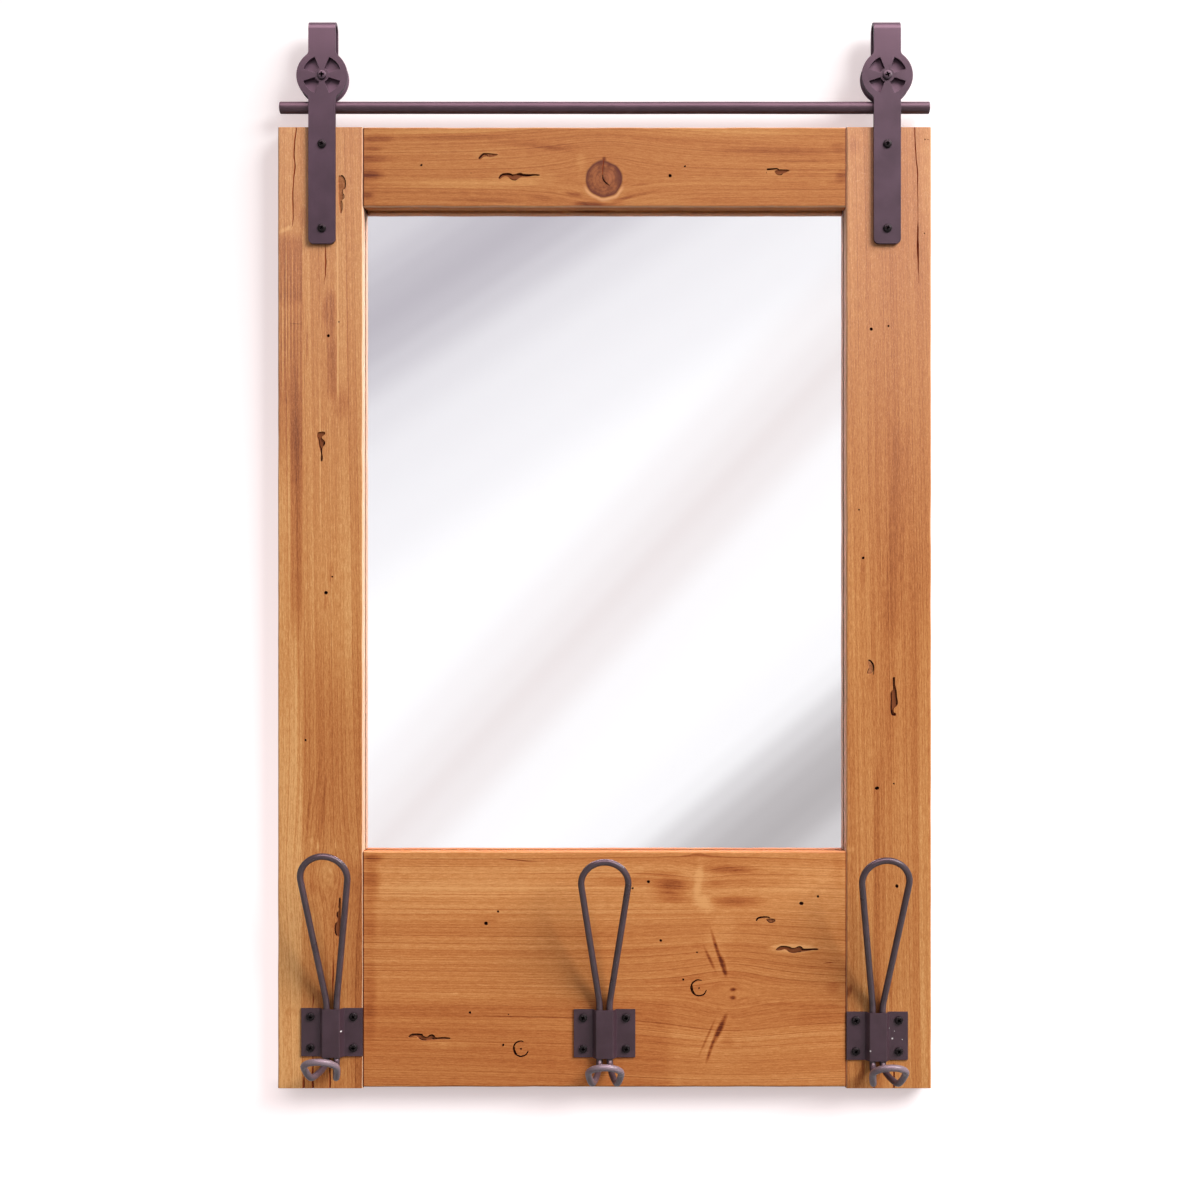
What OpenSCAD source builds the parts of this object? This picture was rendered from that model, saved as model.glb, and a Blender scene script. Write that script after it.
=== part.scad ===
// Wall mirror in a four-board rustic wooden frame, carried by two barn-door style hanger straps
// with wheels and a rail, and fitted with three bent-wire coat hooks.
// Millimetres. +Z is up, the front faces -Y, and the wall plane is y = 0.
// The origin lies on the wall plane, midway between the two hanging points.

/* [Frame boards] */
// Width of the wooden frame
frame_w = 612; // [560:1:720]
// Height of the wooden frame
frame_h = 900; // [820:1:1040]
// Thickness of the boards
board_t = 20; // [19:0.5:26]
// Width of each upright stile
stile_w = 80; // [76:1:96]
// Height of the top rail
top_rail_h = 75; // [72:1:96]
// Height of the wide bottom board
bottom_board_h = 222; // [200:1:270]
// How far the stiles run past the bottom board
stile_overrun = 1.2; // [0:0.1:3]
// Radius of the eased front edges
edge_r = 1.5; // [0.5:0.25:2.5]
// Diameter of the joint dowels
dowel_d = 8; // [6:0.5:9]
// Length of each dowel
dowel_l = 40; // [30:1:44]
// Distance of the top rail's dowels from its edges
dowel_inset = 18; // [14:1:22]
// Distance of the bottom board's outer dowels from its edges
dowel_low_inset = 21; // [18:1:30]

/* [Mirror and backing] */
// Thickness of the mirror glass
glass_t = 3; // [2:0.5:4]
// How far the glass reaches behind the lip of the frame
glass_lap = 5; // [4:0.5:7]
// Thickness of the hardboard backing panel
backer_t = 3; // [2.5:0.5:4]
// How far the backing panel reaches past the opening
backer_lap = 16; // [14:0.5:18]
// Shank diameter of the backing screws
backer_screw_d = 2.4; // [2:0.1:3]
// Length of the backing screws
backer_screw_l = 10; // [8:0.5:12]

/* [Wall hangers] */
// Height from the hanging points to the top of the frame
hang_drop = 44; // [42:1:48]
// Length of each keyhole plate
keyhole_plate_l = 52; // [50:1:56]
// Width of each keyhole plate
keyhole_plate_w = 18; // [16:1:22]
// Thickness of each keyhole plate
keyhole_plate_t = 1.5; // [1.2:0.1:2]
// Diameter of the entry hole for the wall screw's head
keyhole_entry_d = 9.5; // [8.5:0.1:10]
// Width of the slot for the wall screw's shank
keyhole_slot_w = 5; // [4:0.1:5.5]
// Distance of the plate's screws from its ends
plate_screw_inset = 6; // [4:0.5:7]
// Travel from the entry hole up to the hanging point
keyhole_travel = 10; // [8:0.5:12]
// Depth of the pocket for the wall screw's head, from the back of the frame
keyhole_pocket_depth = 10; // [8:0.5:12]

/* [Hanger straps] */
// Width of the flat strap
strap_w = 25.4; // [22:0.2:30]
// Thickness of the strap
strap_t = 3; // [2:0.25:4]
// Distance from the frame's outer edge to the centre of the strap
strap_inset = 41.8; // [38:0.2:46]
// How far the strap reaches down the face of the frame
strap_drop = 110; // [100:1:130]
// Height from the frame's top edge to the wheel axle
axle_rise = 47.5; // [44:0.5:56]
// Height from the frame's top edge to the top of the strap's bend
strap_rise = 99.5; // [88:0.5:120]
// Radius of the strap's lower corners
strap_corner_r = 5; // [2:0.5:8]
// Radius of the strap's round spoked face
disc_r = 23.9; // [22:0.1:25]
// Radius of the fillets that blend the disc into the strap
disc_fillet_r = 5; // [3:0.5:7]
// Inner radius of the four windows between the spokes
window_inner_r = 6.8; // [6:0.1:8]
// Outer radius of the four windows
window_outer_r = 18; // [15:0.1:20]
// Angle above the horizontal at which each window starts
window_start = 18; // [14:1:24]
// Angle above the horizontal at which each window ends
window_end = 68; // [60:1:72]
// Depth of the upper strap screw below the frame's top edge
strap_screw_top = 16.8; // [12:0.1:17]
// Depth of the lower strap screw below the frame's top edge
strap_screw_low = 95.5; // [88:0.1:98]

/* [Rail and wheels] */
// Diameter of the round rail under the wheels
rail_d = 11; // [10:0.5:14]
// Distance from each end of the rail to the side of the frame
rail_inset = 1; // [0:0.5:10]
// Chamfer at each end of the rail
rail_chamfer = 0.8; // [0.4:0.1:1.5]
// Radius of the wheel over its flanges
wheel_r = 23.5; // [22:0.25:26]
// Depth of the groove that straddles the rail
groove_depth = 1.7; // [1.5:0.1:3]
// Running gap between the groove and the rail
groove_gap = 0.3; // [0.2:0.05:0.5]
// Diameter of the axle bolt
axle_d = 5; // [4:0.25:6]
// Radial running clearance of the wheel on its bolt
axle_fit = 0.08; // [0.04:0.01:0.1]
// Thickness of the washers on both sides of the wheel
washer_t = 0.5; // [0.4:0.1:0.8]
// Outer diameter of the washers
washer_d = 10; // [9:0.5:12]
// Play between the wheel and each washer
wheel_play = 0.1; // [0.05:0.05:0.2]
// Diameter of the axle bolt's head
axle_head_d = 8.4; // [7.6:0.2:10]
// Height of the axle bolt's head
axle_head_h = 2.4; // [2:0.1:3]
// Width across the flats of the axle nut
nut_af = 8; // [7.5:0.5:10]
// Thickness of the axle nut
nut_t = 3.2; // [2.4:0.1:4]
// Length of the weld bead that holds the rail to a strap
weld_l = 18; // [12:1:22]
// Radius of the weld bead
weld_r = 3; // [2:0.1:3.5]

/* [Hook brackets] */
// Distance of the outer brackets' sides from the inner edges of the stiles
bracket_inset = 0.25; // [0:0.25:8]
// Height of each bracket's centre above the bottom of the frame: left, middle and right
hook_rises = [53, 52, 49.6]; // [46:0.2:70]
// Width of the bracket
bracket_w = 57.5; // [56:0.5:64]
// Height of the bracket
bracket_h = 45; // [40:0.5:50]
// Thickness of the bracket's sheet metal
bracket_t = 1.5; // [1.2:0.1:2]
// Width of the raised channel at its front
channel_front_w = 16; // [15.5:0.25:18]
// Width of the raised channel where it meets the flanges
channel_base_w = 23; // [22.5:0.25:25]
// Horizontal distance between the bracket screws
bracket_screw_x = 40.2; // [39:0.2:44]
// Vertical distance between the bracket screws
bracket_screw_z = 29; // [26:0.5:32]

/* [Hook wire] */
// Diameter of the hook wire
wire_d = 6; // [5:0.25:6]
// Distance between the two legs inside the bracket
leg_pitch = 9.4; // [8.6:0.1:9.6]
// Radius of the upper loop, at the wire's centre line
loop_r = 21.4; // [18:0.2:24]
// Height of each upper loop's centre above its bracket's centre: left, middle and right
loop_rises = [149.8, 145.4, 149.5]; // [120:0.2:155]
// Forward lean of the upper loop, in degrees
loop_lean = 18.2; // [12:0.2:22]
// Reach of the lower prong from the face of the boards, at the wire's centre line
prong_reach = 72; // [66:0.5:80]
// Width of the lower prong's end loop, at the wire's centre line
prong_w = 29.4; // [26:0.2:34]
// Slope of the lower prong's end loop, in degrees
prong_slope = 34.5; // [28:0.5:40]
// Forward distance of the prong's lowest point
prong_low_reach = 39; // [34:0.5:42]
// Sideways distance of each leg's lowest point from the middle
prong_low_x = 10.5; // [8:0.25:12]
// Drop of each prong's lowest point below its bracket's centre: left, middle and right
prong_drops = [32.1, 36.1, 33.9]; // [30:0.2:40]
// Rise from the prong's lowest point to its tip
prong_rise = 22.4; // [20:0.2:26]

/* [Screws] */
// Head diameter of the strap and bracket screws
pan_head_d = 8; // [7:0.2:8.6]
// Head height of the strap and bracket screws
pan_head_h = 2.4; // [2:0.1:3]
// Shank diameter of the strap and bracket screws
pan_shank_d = 3.5; // [3:0.1:4]
// Length of the strap and bracket screws under the head
pan_screw_l = 15; // [13:0.5:16]
// Shank diameter of the keyhole plate screws
plate_screw_d = 3; // [2.6:0.1:3.4]
// Length of the keyhole plate screws
plate_screw_l = 12; // [10:0.5:14]

/* [Hidden] */
$fn = 48;

// Colours
wood_colour = [0.74, 0.48, 0.28];
dowel_colour = [0.85, 0.72, 0.52];
glass_colour = [0.86, 0.88, 0.90];
hardboard_colour = [0.45, 0.30, 0.20];
bronze_colour = [0.32, 0.26, 0.27];
black_colour = [0.09, 0.08, 0.08];
zinc_colour = [0.68, 0.69, 0.70];
nylon_colour = [0.90, 0.89, 0.85];

// Shared clearances
eps = 0.01;           // overlap of shapes that become one solid
hole_gap = 0.05;      // radial gap round a screw or dowel in its hole
bolt_gap = 0.1;       // radial gap round a bolt in sheet metal
seat_gap = 0.3;       // slack that keeps the glass and the backing panel from being crushed
edge_gap = 1;         // gap between the edge of the glass and its rabbet
backer_gap = 0.5;     // gap between the edge of the backing panel and its rabbet
flush_gap = 0.2;      // how far the keyhole plates lie below the back of the frame
recess_end_gap = 1;   // room past the end of a dowel or screw in its hole
weld_gap = 0.05;      // gap between a weld bead and the rail
head_room = 1;        // room round the wall screw's head in its pocket

// Diameter of the blunt end of every wood screw
tip_d = 0.6;

// Frame levels and faces
top_z = hang_drop;
bottom_z = top_z - frame_h;
board_bottom_z = bottom_z + stile_overrun;
side_x = frame_w / 2;
open_x = side_x - stile_w;
open_top_z = top_z - top_rail_h;
open_low_z = bottom_z + bottom_board_h;
face_y = -board_t;

// Mirror pocket
pocket_depth = glass_t + backer_t + 2 * seat_gap;
ledge_depth = backer_t + seat_gap;

// Dowel positions
dowel_y = face_y / 2;
rail_dowel_z = [top_z - dowel_inset, open_top_z + dowel_inset];
board_dowel_z = [
    board_bottom_z + dowel_low_inset,
    (board_bottom_z + open_low_z) / 2,
    open_low_z - dowel_low_inset
];

// Strap levels
strap_x = side_x - strap_inset;
strap_back_y = face_y;
strap_front_y = face_y - strap_t;
leg_gap = rail_d;                       // the rail fills the gap between the strap's two legs
axle_z = top_z + axle_rise;
bend_outer_r = leg_gap / 2 + strap_t;
bend_z = top_z + strap_rise - bend_outer_r;
wheel_y = strap_back_y + leg_gap / 2;
rear_leg_back_y = strap_back_y + leg_gap + strap_t;

// Wheel and rail
wheel_t = leg_gap - 2 * washer_t - 2 * wheel_play;
groove_r = rail_d / 2 + groove_gap;
rail_z = axle_z - (wheel_r - groove_depth) - groove_gap - rail_d / 2;
axle_hole_r = axle_d / 2 + bolt_gap;
bolt_tail = 0.6;                        // the bolt's end stands this far out of its nut
bolt_end_y = rear_leg_back_y + nut_t + bolt_tail;

// Hook levels and wire
outer_hook_x = open_x + bracket_inset + bracket_w / 2;
hook_xs = [-outer_hook_x, 0, outer_hook_x];
hook_zs = [for (rise = hook_rises) bottom_z + rise];
wire_r = wire_d / 2;
wire_seat = 0.05;                       // gap between the wire and what it lies against
wire_f = wire_r + wire_seat;
channel_h = wire_d + 2 * wire_seat;     // inside height of the bracket's channel
leg_x = leg_pitch / 2;
half_h = bracket_h / 2;
knee = 6;                               // the upper legs bend this far above the bracket
butt_gap = 1;                           // gap between the wire's two ends, behind the bracket
exit_pull = 10;                         // how long the prong's legs hold their way out of the bracket
low_pull = 18;                          // how long they run level before their lowest point
rise_pull = 8;                          // how long the prong holds its way after that point

// ---------------------------------------------------------------- helpers

// Unit vector along v.
function unit(v) = v / norm(v);

// Point at t on a cubic Bezier curve.
function bezier(a, b, c, d, t) =
    a * pow(1 - t, 3) + 3 * b * t * pow(1 - t, 2) + 3 * c * t * t * (1 - t) + d * pow(t, 3);

// The list p in reverse order.
function reversed(p) = [for (i = [len(p) - 1:-1:0]) p[i]];

// The points p mirrored from right to left.
function flipped(p) = [for (q = p) [-q[0], q[1], q[2]]];

// Direction of the path p at its point i.
function path_tangent(p, i) = unit(p[min(i + 1, len(p) - 1)] - p[max(i - 1, 0)]);

// The vector n carried along to a plane square to t.
function carried(n, t) = unit(n - (n * t) * t);

// A round tube of radius r along the open path p, with flat ends.
module tube_along(p, r, sides) {
    n = len(p);
    t = [for (i = [0:n - 1]) path_tangent(p, i)];
    u = [for (i = 0, v = carried([1, 0, 0], t[0]); i < n;
              i = i + 1, v = i < n ? carried(v, t[i]) : v) v];
    rings = [for (i = [0:n - 1]) for (k = [0:sides - 1])
        p[i] + r * (cos(360 * k / sides) * u[i] + sin(360 * k / sides) * cross(t[i], u[i]))];
    walls = [for (i = [0:n - 2]) for (k = [0:sides - 1])
        let (a = i * sides + k, b = i * sides + (k + 1) % sides)
        each [[a, b + sides, b], [a, a + sides, b + sides]]];
    start_cap = [for (k = [1:sides - 2]) [0, k, k + 1]];
    end_cap = [for (k = [1:sides - 2]) [(n - 1) * sides, (n - 1) * sides + k + 1, (n - 1) * sides + k]];
    polyhedron(points = rings, faces = concat(walls, start_cap, end_cap), convexity = 12);
}

// A block between two corners.
module block(low, high) {
    translate(low) cube(high - low);
}

// Turns a part built with its head up +Z so that the head faces the front.
module facing_front() {
    rotate([90, 0, 0]) children();
}

// Turns a part built with its head up +Z so that the head faces the wall.
module facing_back() {
    rotate([-90, 0, 0]) children();
}

// A cross-shaped driver recess, cut down from z = 0.
module cross_recess(span, width, depth) {
    for (a = [0, 90])
        rotate([0, 0, a]) translate([-span / 2, -width / 2, -depth]) cube([span, width, depth + 1]);
}

// Domed head of diameter d and height h on z = 0, with a cross recess.
module domed_head(d, h) {
    dome_r = (d * d / 4 + h * h) / (2 * h) * 1.12;
    difference() {
        intersection() {
            cylinder(h = h, d = d);
            translate([0, 0, h - dome_r]) sphere(r = dome_r, $fn = 64);
        }
        translate([0, 0, h]) cross_recess(d * 0.56, d * 0.14, h * 0.62);
    }
}

// Pan-headed wood screw: the head sits on z = 0 and the shank runs down -Z.
module pan_screw() {
    tip_l = pan_shank_d * 1.2;
    domed_head(pan_head_d, pan_head_h);
    translate([0, 0, -pan_screw_l + tip_l]) cylinder(h = pan_screw_l - tip_l + eps, d = pan_shank_d);
    translate([0, 0, -pan_screw_l]) cylinder(h = tip_l + eps, d1 = tip_d, d2 = pan_shank_d);
}

// Hole for a pan-headed screw's shank.
module pan_screw_hole() {
    translate([0, 0, -pan_screw_l - recess_end_gap])
        cylinder(h = pan_screw_l + recess_end_gap + 1, d = pan_shank_d + 2 * hole_gap);
}

// Countersunk screw whose flat head lies level with z = 0.
module flat_screw(d, l) {
    difference() {
        union() {
            translate([0, 0, -d / 2]) cylinder(h = d / 2, d1 = d, d2 = 2 * d);
            translate([0, 0, -l + d]) cylinder(h = l - d - d / 2 + eps, d = d);
            translate([0, 0, -l]) cylinder(h = d + eps, d1 = tip_d, d2 = d);
        }
        cross_recess(1.1 * d, 0.28 * d, 0.45 * d);
    }
}

// Hole and countersink for a flat screw.
module flat_screw_hole(d, l) {
    g = hole_gap;
    translate([0, 0, -d / 2 - g]) cylinder(h = d / 2 + g, d1 = d, d2 = 2 * d + 2 * g);
    translate([0, 0, -g]) cylinder(h = g + 1, d = 2 * d + 2 * g);
    translate([0, 0, -l - recess_end_gap]) cylinder(h = l + recess_end_gap, d = d + 2 * g);
}

// ---------------------------------------------------------------- frame boards

// Cross-section of a board w wide, with its two front edges eased.
module board_section(w) {
    translate([edge_r, -board_t]) square([w - 2 * edge_r, board_t]);
    translate([0, -board_t + edge_r]) square([w, board_t - edge_r]);
    for (x = [edge_r, w - edge_r]) translate([x, -board_t + edge_r]) circle(r = edge_r);
}

// Upright board from x0 to x1 and z0 to z1.
module upright_board(x0, x1, z0, z1) {
    translate([x0, 0, z0]) linear_extrude(height = z1 - z0) board_section(x1 - x0);
}

// Level board between the stiles, from z0 to z1.
module level_board(z0, z1) {
    translate([-open_x, 0, z1]) rotate([0, 90, 0])
        linear_extrude(height = 2 * open_x) board_section(z1 - z0);
}

// The rabbets that take the glass and the backing panel, cut from the back of the frame.
module mirror_pocket() {
    reach = glass_lap + edge_gap;
    wide = backer_lap + backer_gap;
    block([-open_x - reach, -pocket_depth, open_low_z - reach], [open_x + reach, 1, open_top_z + reach]);
    block([-open_x - wide, -ledge_depth, open_low_z - wide], [open_x + wide, 1, open_top_z + wide]);
}

// Places its children at each dowel, with the dowel's axis along their Z.
module at_dowels() {
    for (side = [-1, 1]) for (z = concat(rail_dowel_z, board_dowel_z))
        translate([side * open_x, dowel_y, z]) rotate([0, 90, 0]) children();
}

module dowel_holes() {
    at_dowels() cylinder(h = dowel_l + 2 * recess_end_gap, d = dowel_d + 2 * hole_gap, center = true);
}

// Places its children at each backing screw, on the ledge round the glass.
module at_backer_screws() {
    off = (glass_lap + edge_gap + backer_lap) / 2;
    high = open_top_z + off;
    low = open_low_z - off;
    mid = (high + low) / 2;
    for (x = [-1, 0, 1]) for (z = [low, high])
        translate([x * open_x * 0.8, -seat_gap, z]) facing_back() children();
    for (side = [-1, 1]) for (k = [-1, 0, 1])
        translate([side * (open_x + off), -seat_gap, mid + k * (high - low) * 0.36]) facing_back() children();
}

module backer_screw_holes() {
    at_backer_screws() flat_screw_hole(backer_screw_d, backer_screw_l);
}

// Places its children at the two screws of each strap, on the strap's front face.
module at_strap_screws() {
    for (side = [-1, 1]) for (drop = [strap_screw_top, strap_screw_low])
        translate([side * strap_x, strap_front_y, top_z - drop]) facing_front() children();
}

// Moves its children to the centre of hook n's bracket, on the face of the boards.
module at_hook(n) {
    translate([hook_xs[n], face_y, hook_zs[n]]) children();
}

// Places its children at the four screws of hook n, on the bracket's flanges.
module at_hook_screws(n) {
    at_hook(n) for (i = [-1, 1]) for (k = [-1, 1])
        translate([i * bracket_screw_x / 2, -bracket_t, k * bracket_screw_z / 2]) facing_front() children();
}

// Slot-shaped prism along Z, from z0 to z1 in Z and x from -w/2 to w/2, with round ends at y0 and y1.
module slot(w, y0, y1, z0, z1) {
    for (y = [y0, y1]) translate([0, y, z0]) cylinder(h = z1 - z0, d = w);
    translate([-w / 2, y0, z0]) cube([w, y1 - y0, z1 - z0]);
}

// The pockets in a stile for its keyhole plate and the wall screw's head.
module keyhole_pocket(side) {
    half_l = keyhole_plate_l / 2;
    half_w = keyhole_plate_w / 2;
    middle_z = -keyhole_travel / 2;
    head_w = keyhole_entry_d + 2 * head_room;
    translate([side * (side_x - stile_w / 2), 0, 0]) {
        block([-half_w - hole_gap, -keyhole_plate_t - flush_gap, middle_z - half_l - hole_gap],
              [half_w + hole_gap, 1, middle_z + half_l + hole_gap]);
        translate([0, -keyhole_pocket_depth, 0]) rotate([-90, 0, 0])
            slot(head_w, 0, keyhole_travel, 0, keyhole_pocket_depth);
    }
}

// Places its children at the two screws of a keyhole plate, on the plate's back face.
module at_plate_screws(side) {
    reach = keyhole_plate_l / 2 - plate_screw_inset;
    for (k = [-1, 1])
        translate([side * (side_x - stile_w / 2), -flush_gap, -keyhole_travel / 2 + k * reach])
            facing_back() children();
}

// Left (-1) or right (1) stile, with its rabbets, pockets and screw holes.
module stile(side) {
    color(wood_colour) difference() {
        upright_board(side > 0 ? open_x : -side_x, side > 0 ? side_x : -open_x, bottom_z, top_z);
        mirror_pocket();
        dowel_holes();
        backer_screw_holes();
        keyhole_pocket(side);
        at_plate_screws(side) flat_screw_hole(plate_screw_d, plate_screw_l);
        at_strap_screws() pan_screw_hole();
        at_hook_screws(side > 0 ? 2 : 0) pan_screw_hole();
    }
}

module top_rail() {
    color(wood_colour) difference() {
        level_board(open_top_z, top_z);
        mirror_pocket();
        dowel_holes();
        backer_screw_holes();
    }
}

module bottom_board() {
    color(wood_colour) difference() {
        level_board(board_bottom_z, open_low_z);
        mirror_pocket();
        dowel_holes();
        backer_screw_holes();
        at_hook_screws(1) pan_screw_hole();
    }
}

module frame_dowels() {
    color(dowel_colour) at_dowels() cylinder(h = dowel_l, d = dowel_d, center = true);
}

// ---------------------------------------------------------------- mirror and backing

module mirror_glass() {
    color(glass_colour)
        block([-open_x - glass_lap, -pocket_depth, open_low_z - glass_lap],
              [open_x + glass_lap, -pocket_depth + glass_t, open_top_z + glass_lap]);
}

module backing_panel() {
    color(hardboard_colour) difference() {
        block([-open_x - backer_lap, -ledge_depth, open_low_z - backer_lap],
              [open_x + backer_lap, -seat_gap, open_top_z + backer_lap]);
        backer_screw_holes();
    }
}

module backing_screws() {
    color(zinc_colour) at_backer_screws() flat_screw(backer_screw_d, backer_screw_l);
}

// ---------------------------------------------------------------- wall hangers

// Plate with an entry hole for the wall screw's head and a slot up to the hanging point.
module keyhole_plate(side) {
    half_l = keyhole_plate_l / 2;
    half_w = keyhole_plate_w / 2;
    middle_z = -keyhole_travel / 2;
    back_y = -flush_gap;
    color(zinc_colour) difference() {
        translate([side * (side_x - stile_w / 2), 0, 0]) difference() {
            block([-half_w, back_y - keyhole_plate_t, middle_z - half_l],
                  [half_w, back_y, middle_z + half_l]);
            translate([0, -keyhole_pocket_depth, -keyhole_travel]) rotate([-90, 0, 0])
                cylinder(h = keyhole_pocket_depth + 1, d = keyhole_entry_d);
            translate([0, -keyhole_pocket_depth, 0]) rotate([-90, 0, 0])
                slot(keyhole_slot_w, 0, keyhole_travel, 0, keyhole_pocket_depth + 1);
        }
        at_plate_screws(side) flat_screw_hole(plate_screw_d, plate_screw_l);
    }
}

module keyhole_plate_screws() {
    color(zinc_colour) for (side = [-1, 1]) at_plate_screws(side) flat_screw(plate_screw_d, plate_screw_l);
}

// ---------------------------------------------------------------- straps

// The four windows between the spokes, cut through a disc that lies square to Z.
module spoke_windows(h) {
    far = 2 * window_outer_r;
    wedge = [
        [0, 0],
        [far * cos(window_start), far * sin(window_start)],
        [far * cos(window_end), far * sin(window_end)]
    ];
    for (i = [0, 1]) for (k = [0, 1]) mirror([i, 0, 0]) mirror([0, k, 0])
        intersection() {
            difference() {
                cylinder(h = h, r = window_outer_r);
                translate([0, 0, -1]) cylinder(h = h + 2, r = window_inner_r);
            }
            linear_extrude(height = h) polygon(wedge);
        }
}

// Concave fillets between the disc and the straight sides of the strap.
module disc_fillets(h) {
    half_w = strap_w / 2;
    cx = half_w + disc_fillet_r;
    cz = sqrt(pow(disc_r + disc_fillet_r, 2) - cx * cx);
    share = disc_r / (disc_r + disc_fillet_r);
    corner = [
        [half_w, cz], [cx, cz], [cx * share, cz * share],
        [half_w / 2, cz * share], [half_w / 2, cz]
    ];
    for (i = [0, 1]) for (k = [0, 1]) mirror([i, 0, 0]) mirror([0, k, 0])
        difference() {
            linear_extrude(height = h) polygon(corner);
            translate([cx, cz, -1]) cylinder(h = h + 2, r = disc_fillet_r);
        }
}

// Front leg of a strap, flat on z = 0 to strap_t, with Y along its length and the axle at the origin.
module front_leg() {
    half_w = strap_w / 2;
    low = -axle_rise - strap_drop;
    r = strap_corner_r;
    difference() {
        union() {
            block([-half_w, low + r, 0], [half_w, bend_z - axle_z, strap_t]);
            block([-half_w + r, low, 0], [half_w - r, low + 2 * r, strap_t]);
            for (i = [-1, 1]) translate([i * (half_w - r), low + r, 0]) cylinder(h = strap_t, r = r);
            cylinder(h = strap_t, r = disc_r, $fn = 96);
            disc_fillets(strap_t);
        }
        translate([0, 0, -1]) spoke_windows(strap_t + 2);
        translate([0, 0, -1]) cylinder(h = strap_t + 2, r = axle_hole_r);
        for (drop = [strap_screw_top, strap_screw_low]) translate([0, -axle_rise - drop, -1])
            cylinder(h = strap_t + 2, d = pan_shank_d + 2 * bolt_gap);
    }
}

// Rear leg of a strap, which ends in a half round below the axle.
module rear_leg() {
    half_w = strap_w / 2;
    difference() {
        union() {
            block([-half_w, 0, 0], [half_w, bend_z - axle_z, strap_t]);
            cylinder(h = strap_t, r = half_w);
        }
        translate([0, 0, -1]) cylinder(h = strap_t + 2, r = axle_hole_r);
    }
}

// Whole strap: front leg, rear leg and the bend that joins them over the wheel.
module strap(side) {
    color(bronze_colour) translate([side * strap_x, 0, 0]) {
        translate([0, strap_back_y, axle_z]) rotate([90, 0, 0]) front_leg();
        translate([0, rear_leg_back_y, axle_z]) rotate([90, 0, 0]) rear_leg();
        translate([0, wheel_y, bend_z]) rotate([0, 90, 0]) rotate([0, 0, 90])
            rotate_extrude(angle = 180) translate([leg_gap / 2, -strap_w / 2]) square([strap_t, strap_w]);
    }
}

module strap_screws() {
    color(black_colour) at_strap_screws() pan_screw();
}

// ---------------------------------------------------------------- rail, wheels and axles

// Places its children at a wheel's centre, with the axle along their Z and the front up +Z.
module at_axle(side) {
    translate([side * strap_x, wheel_y, axle_z]) rotate([90, 0, 0]) children();
}

// The rail, thicker by extra where it is a cutter.
module rail_bar(extra = 0) {
    l = frame_w - 2 * rail_inset;
    c = rail_chamfer;
    d = rail_d + extra;
    translate([-l / 2, strap_back_y + rail_d / 2, rail_z]) rotate([0, 90, 0]) {
        translate([0, 0, c]) cylinder(h = l - 2 * c, d = d);
        cylinder(h = c, d1 = d - 2 * c, d2 = d);
        translate([0, 0, l - c]) cylinder(h = c, d1 = d, d2 = d - 2 * c);
    }
}

module rail_rod() {
    color(bronze_colour) rail_bar();
}

// A bead under the rail, in the corner between it and the back of each strap.
module rail_welds() {
    corner_z = rail_z - rail_d * 0.36;
    color(bronze_colour) for (side = [-1, 1]) difference() {
        intersection() {
            translate([side * strap_x, strap_back_y, corner_z]) rotate([0, 90, 0])
                cylinder(h = weld_l, r = weld_r, center = true);
            block([side * strap_x - weld_l, strap_back_y, rail_z - rail_d],
                  [side * strap_x + weld_l, 0, rail_z]);
        }
        rail_bar(2 * weld_gap);
    }
}

// Wheel with a groove that straddles the rail and a bore that runs on the axle bolt.
module wheel(side) {
    rail_drop = axle_z - rail_z;
    color(bronze_colour) at_axle(side) difference() {
        cylinder(h = wheel_t, r = wheel_r, center = true, $fn = 96);
        rotate_extrude($fn = 96) translate([rail_drop, 0]) circle(r = groove_r);
        cylinder(h = wheel_t + 2, r = axle_d / 2 + axle_fit, center = true);
    }
}

// Bolt through the strap's legs and the wheel, with its head on the front leg.
module axle_bolt(side) {
    reach = bolt_end_y - strap_front_y;
    color(bronze_colour) translate([side * strap_x, strap_front_y, axle_z]) facing_front() {
        domed_head(axle_head_d, axle_head_h);
        translate([0, 0, -reach]) cylinder(h = reach + eps, d = axle_d);
    }
}

module axle_nuts() {
    color(black_colour) for (side = [-1, 1])
        translate([side * strap_x, rear_leg_back_y + nut_t, axle_z]) rotate([90, 0, 0]) difference() {
            cylinder(h = nut_t, d = nut_af / cos(30), $fn = 6);
            translate([0, 0, -1]) cylinder(h = nut_t + 2, d = axle_d + 2 * hole_gap);
        }
}

module wheel_washers() {
    color(nylon_colour) for (side = [-1, 1]) for (k = [-1, 1])
        at_axle(side) translate([0, 0, k * (leg_gap / 2 - washer_t / 2)]) difference() {
            cylinder(h = washer_t, d = washer_d, center = true);
            cylinder(h = washer_t + 1, d = axle_d + 2 * hole_gap, center = true);
        }
}

// ---------------------------------------------------------------- hooks

// Bent sheet bracket of hook n, with a raised channel for the two legs of the wire.
module hook_bracket(n) {
    w = bracket_w / 2;
    base = channel_base_w / 2;
    front = channel_front_w / 2;
    outer_h = channel_h + bracket_t;
    run = base - front;
    skin = bracket_t * (norm([channel_h, run]) - run) / channel_h;
    inner_front = front - skin;
    inner_base = base - skin;
    outline = [
        [-w, 0], [-w, bracket_t], [-base, bracket_t], [-front, outer_h],
        [front, outer_h], [base, bracket_t], [w, bracket_t], [w, 0],
        [inner_base, 0], [inner_front, channel_h], [-inner_front, channel_h], [-inner_base, 0]
    ];
    color(bronze_colour) difference() {
        at_hook(n) translate([0, 0, -half_h]) mirror([0, 1, 0])
            linear_extrude(height = bracket_h) polygon(outline);
        at_hook_screws(n) translate([0, 0, -bracket_t - 1])
            cylinder(h = bracket_t + 2, d = pan_shank_d + 2 * bolt_gap);
    }
}

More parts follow.
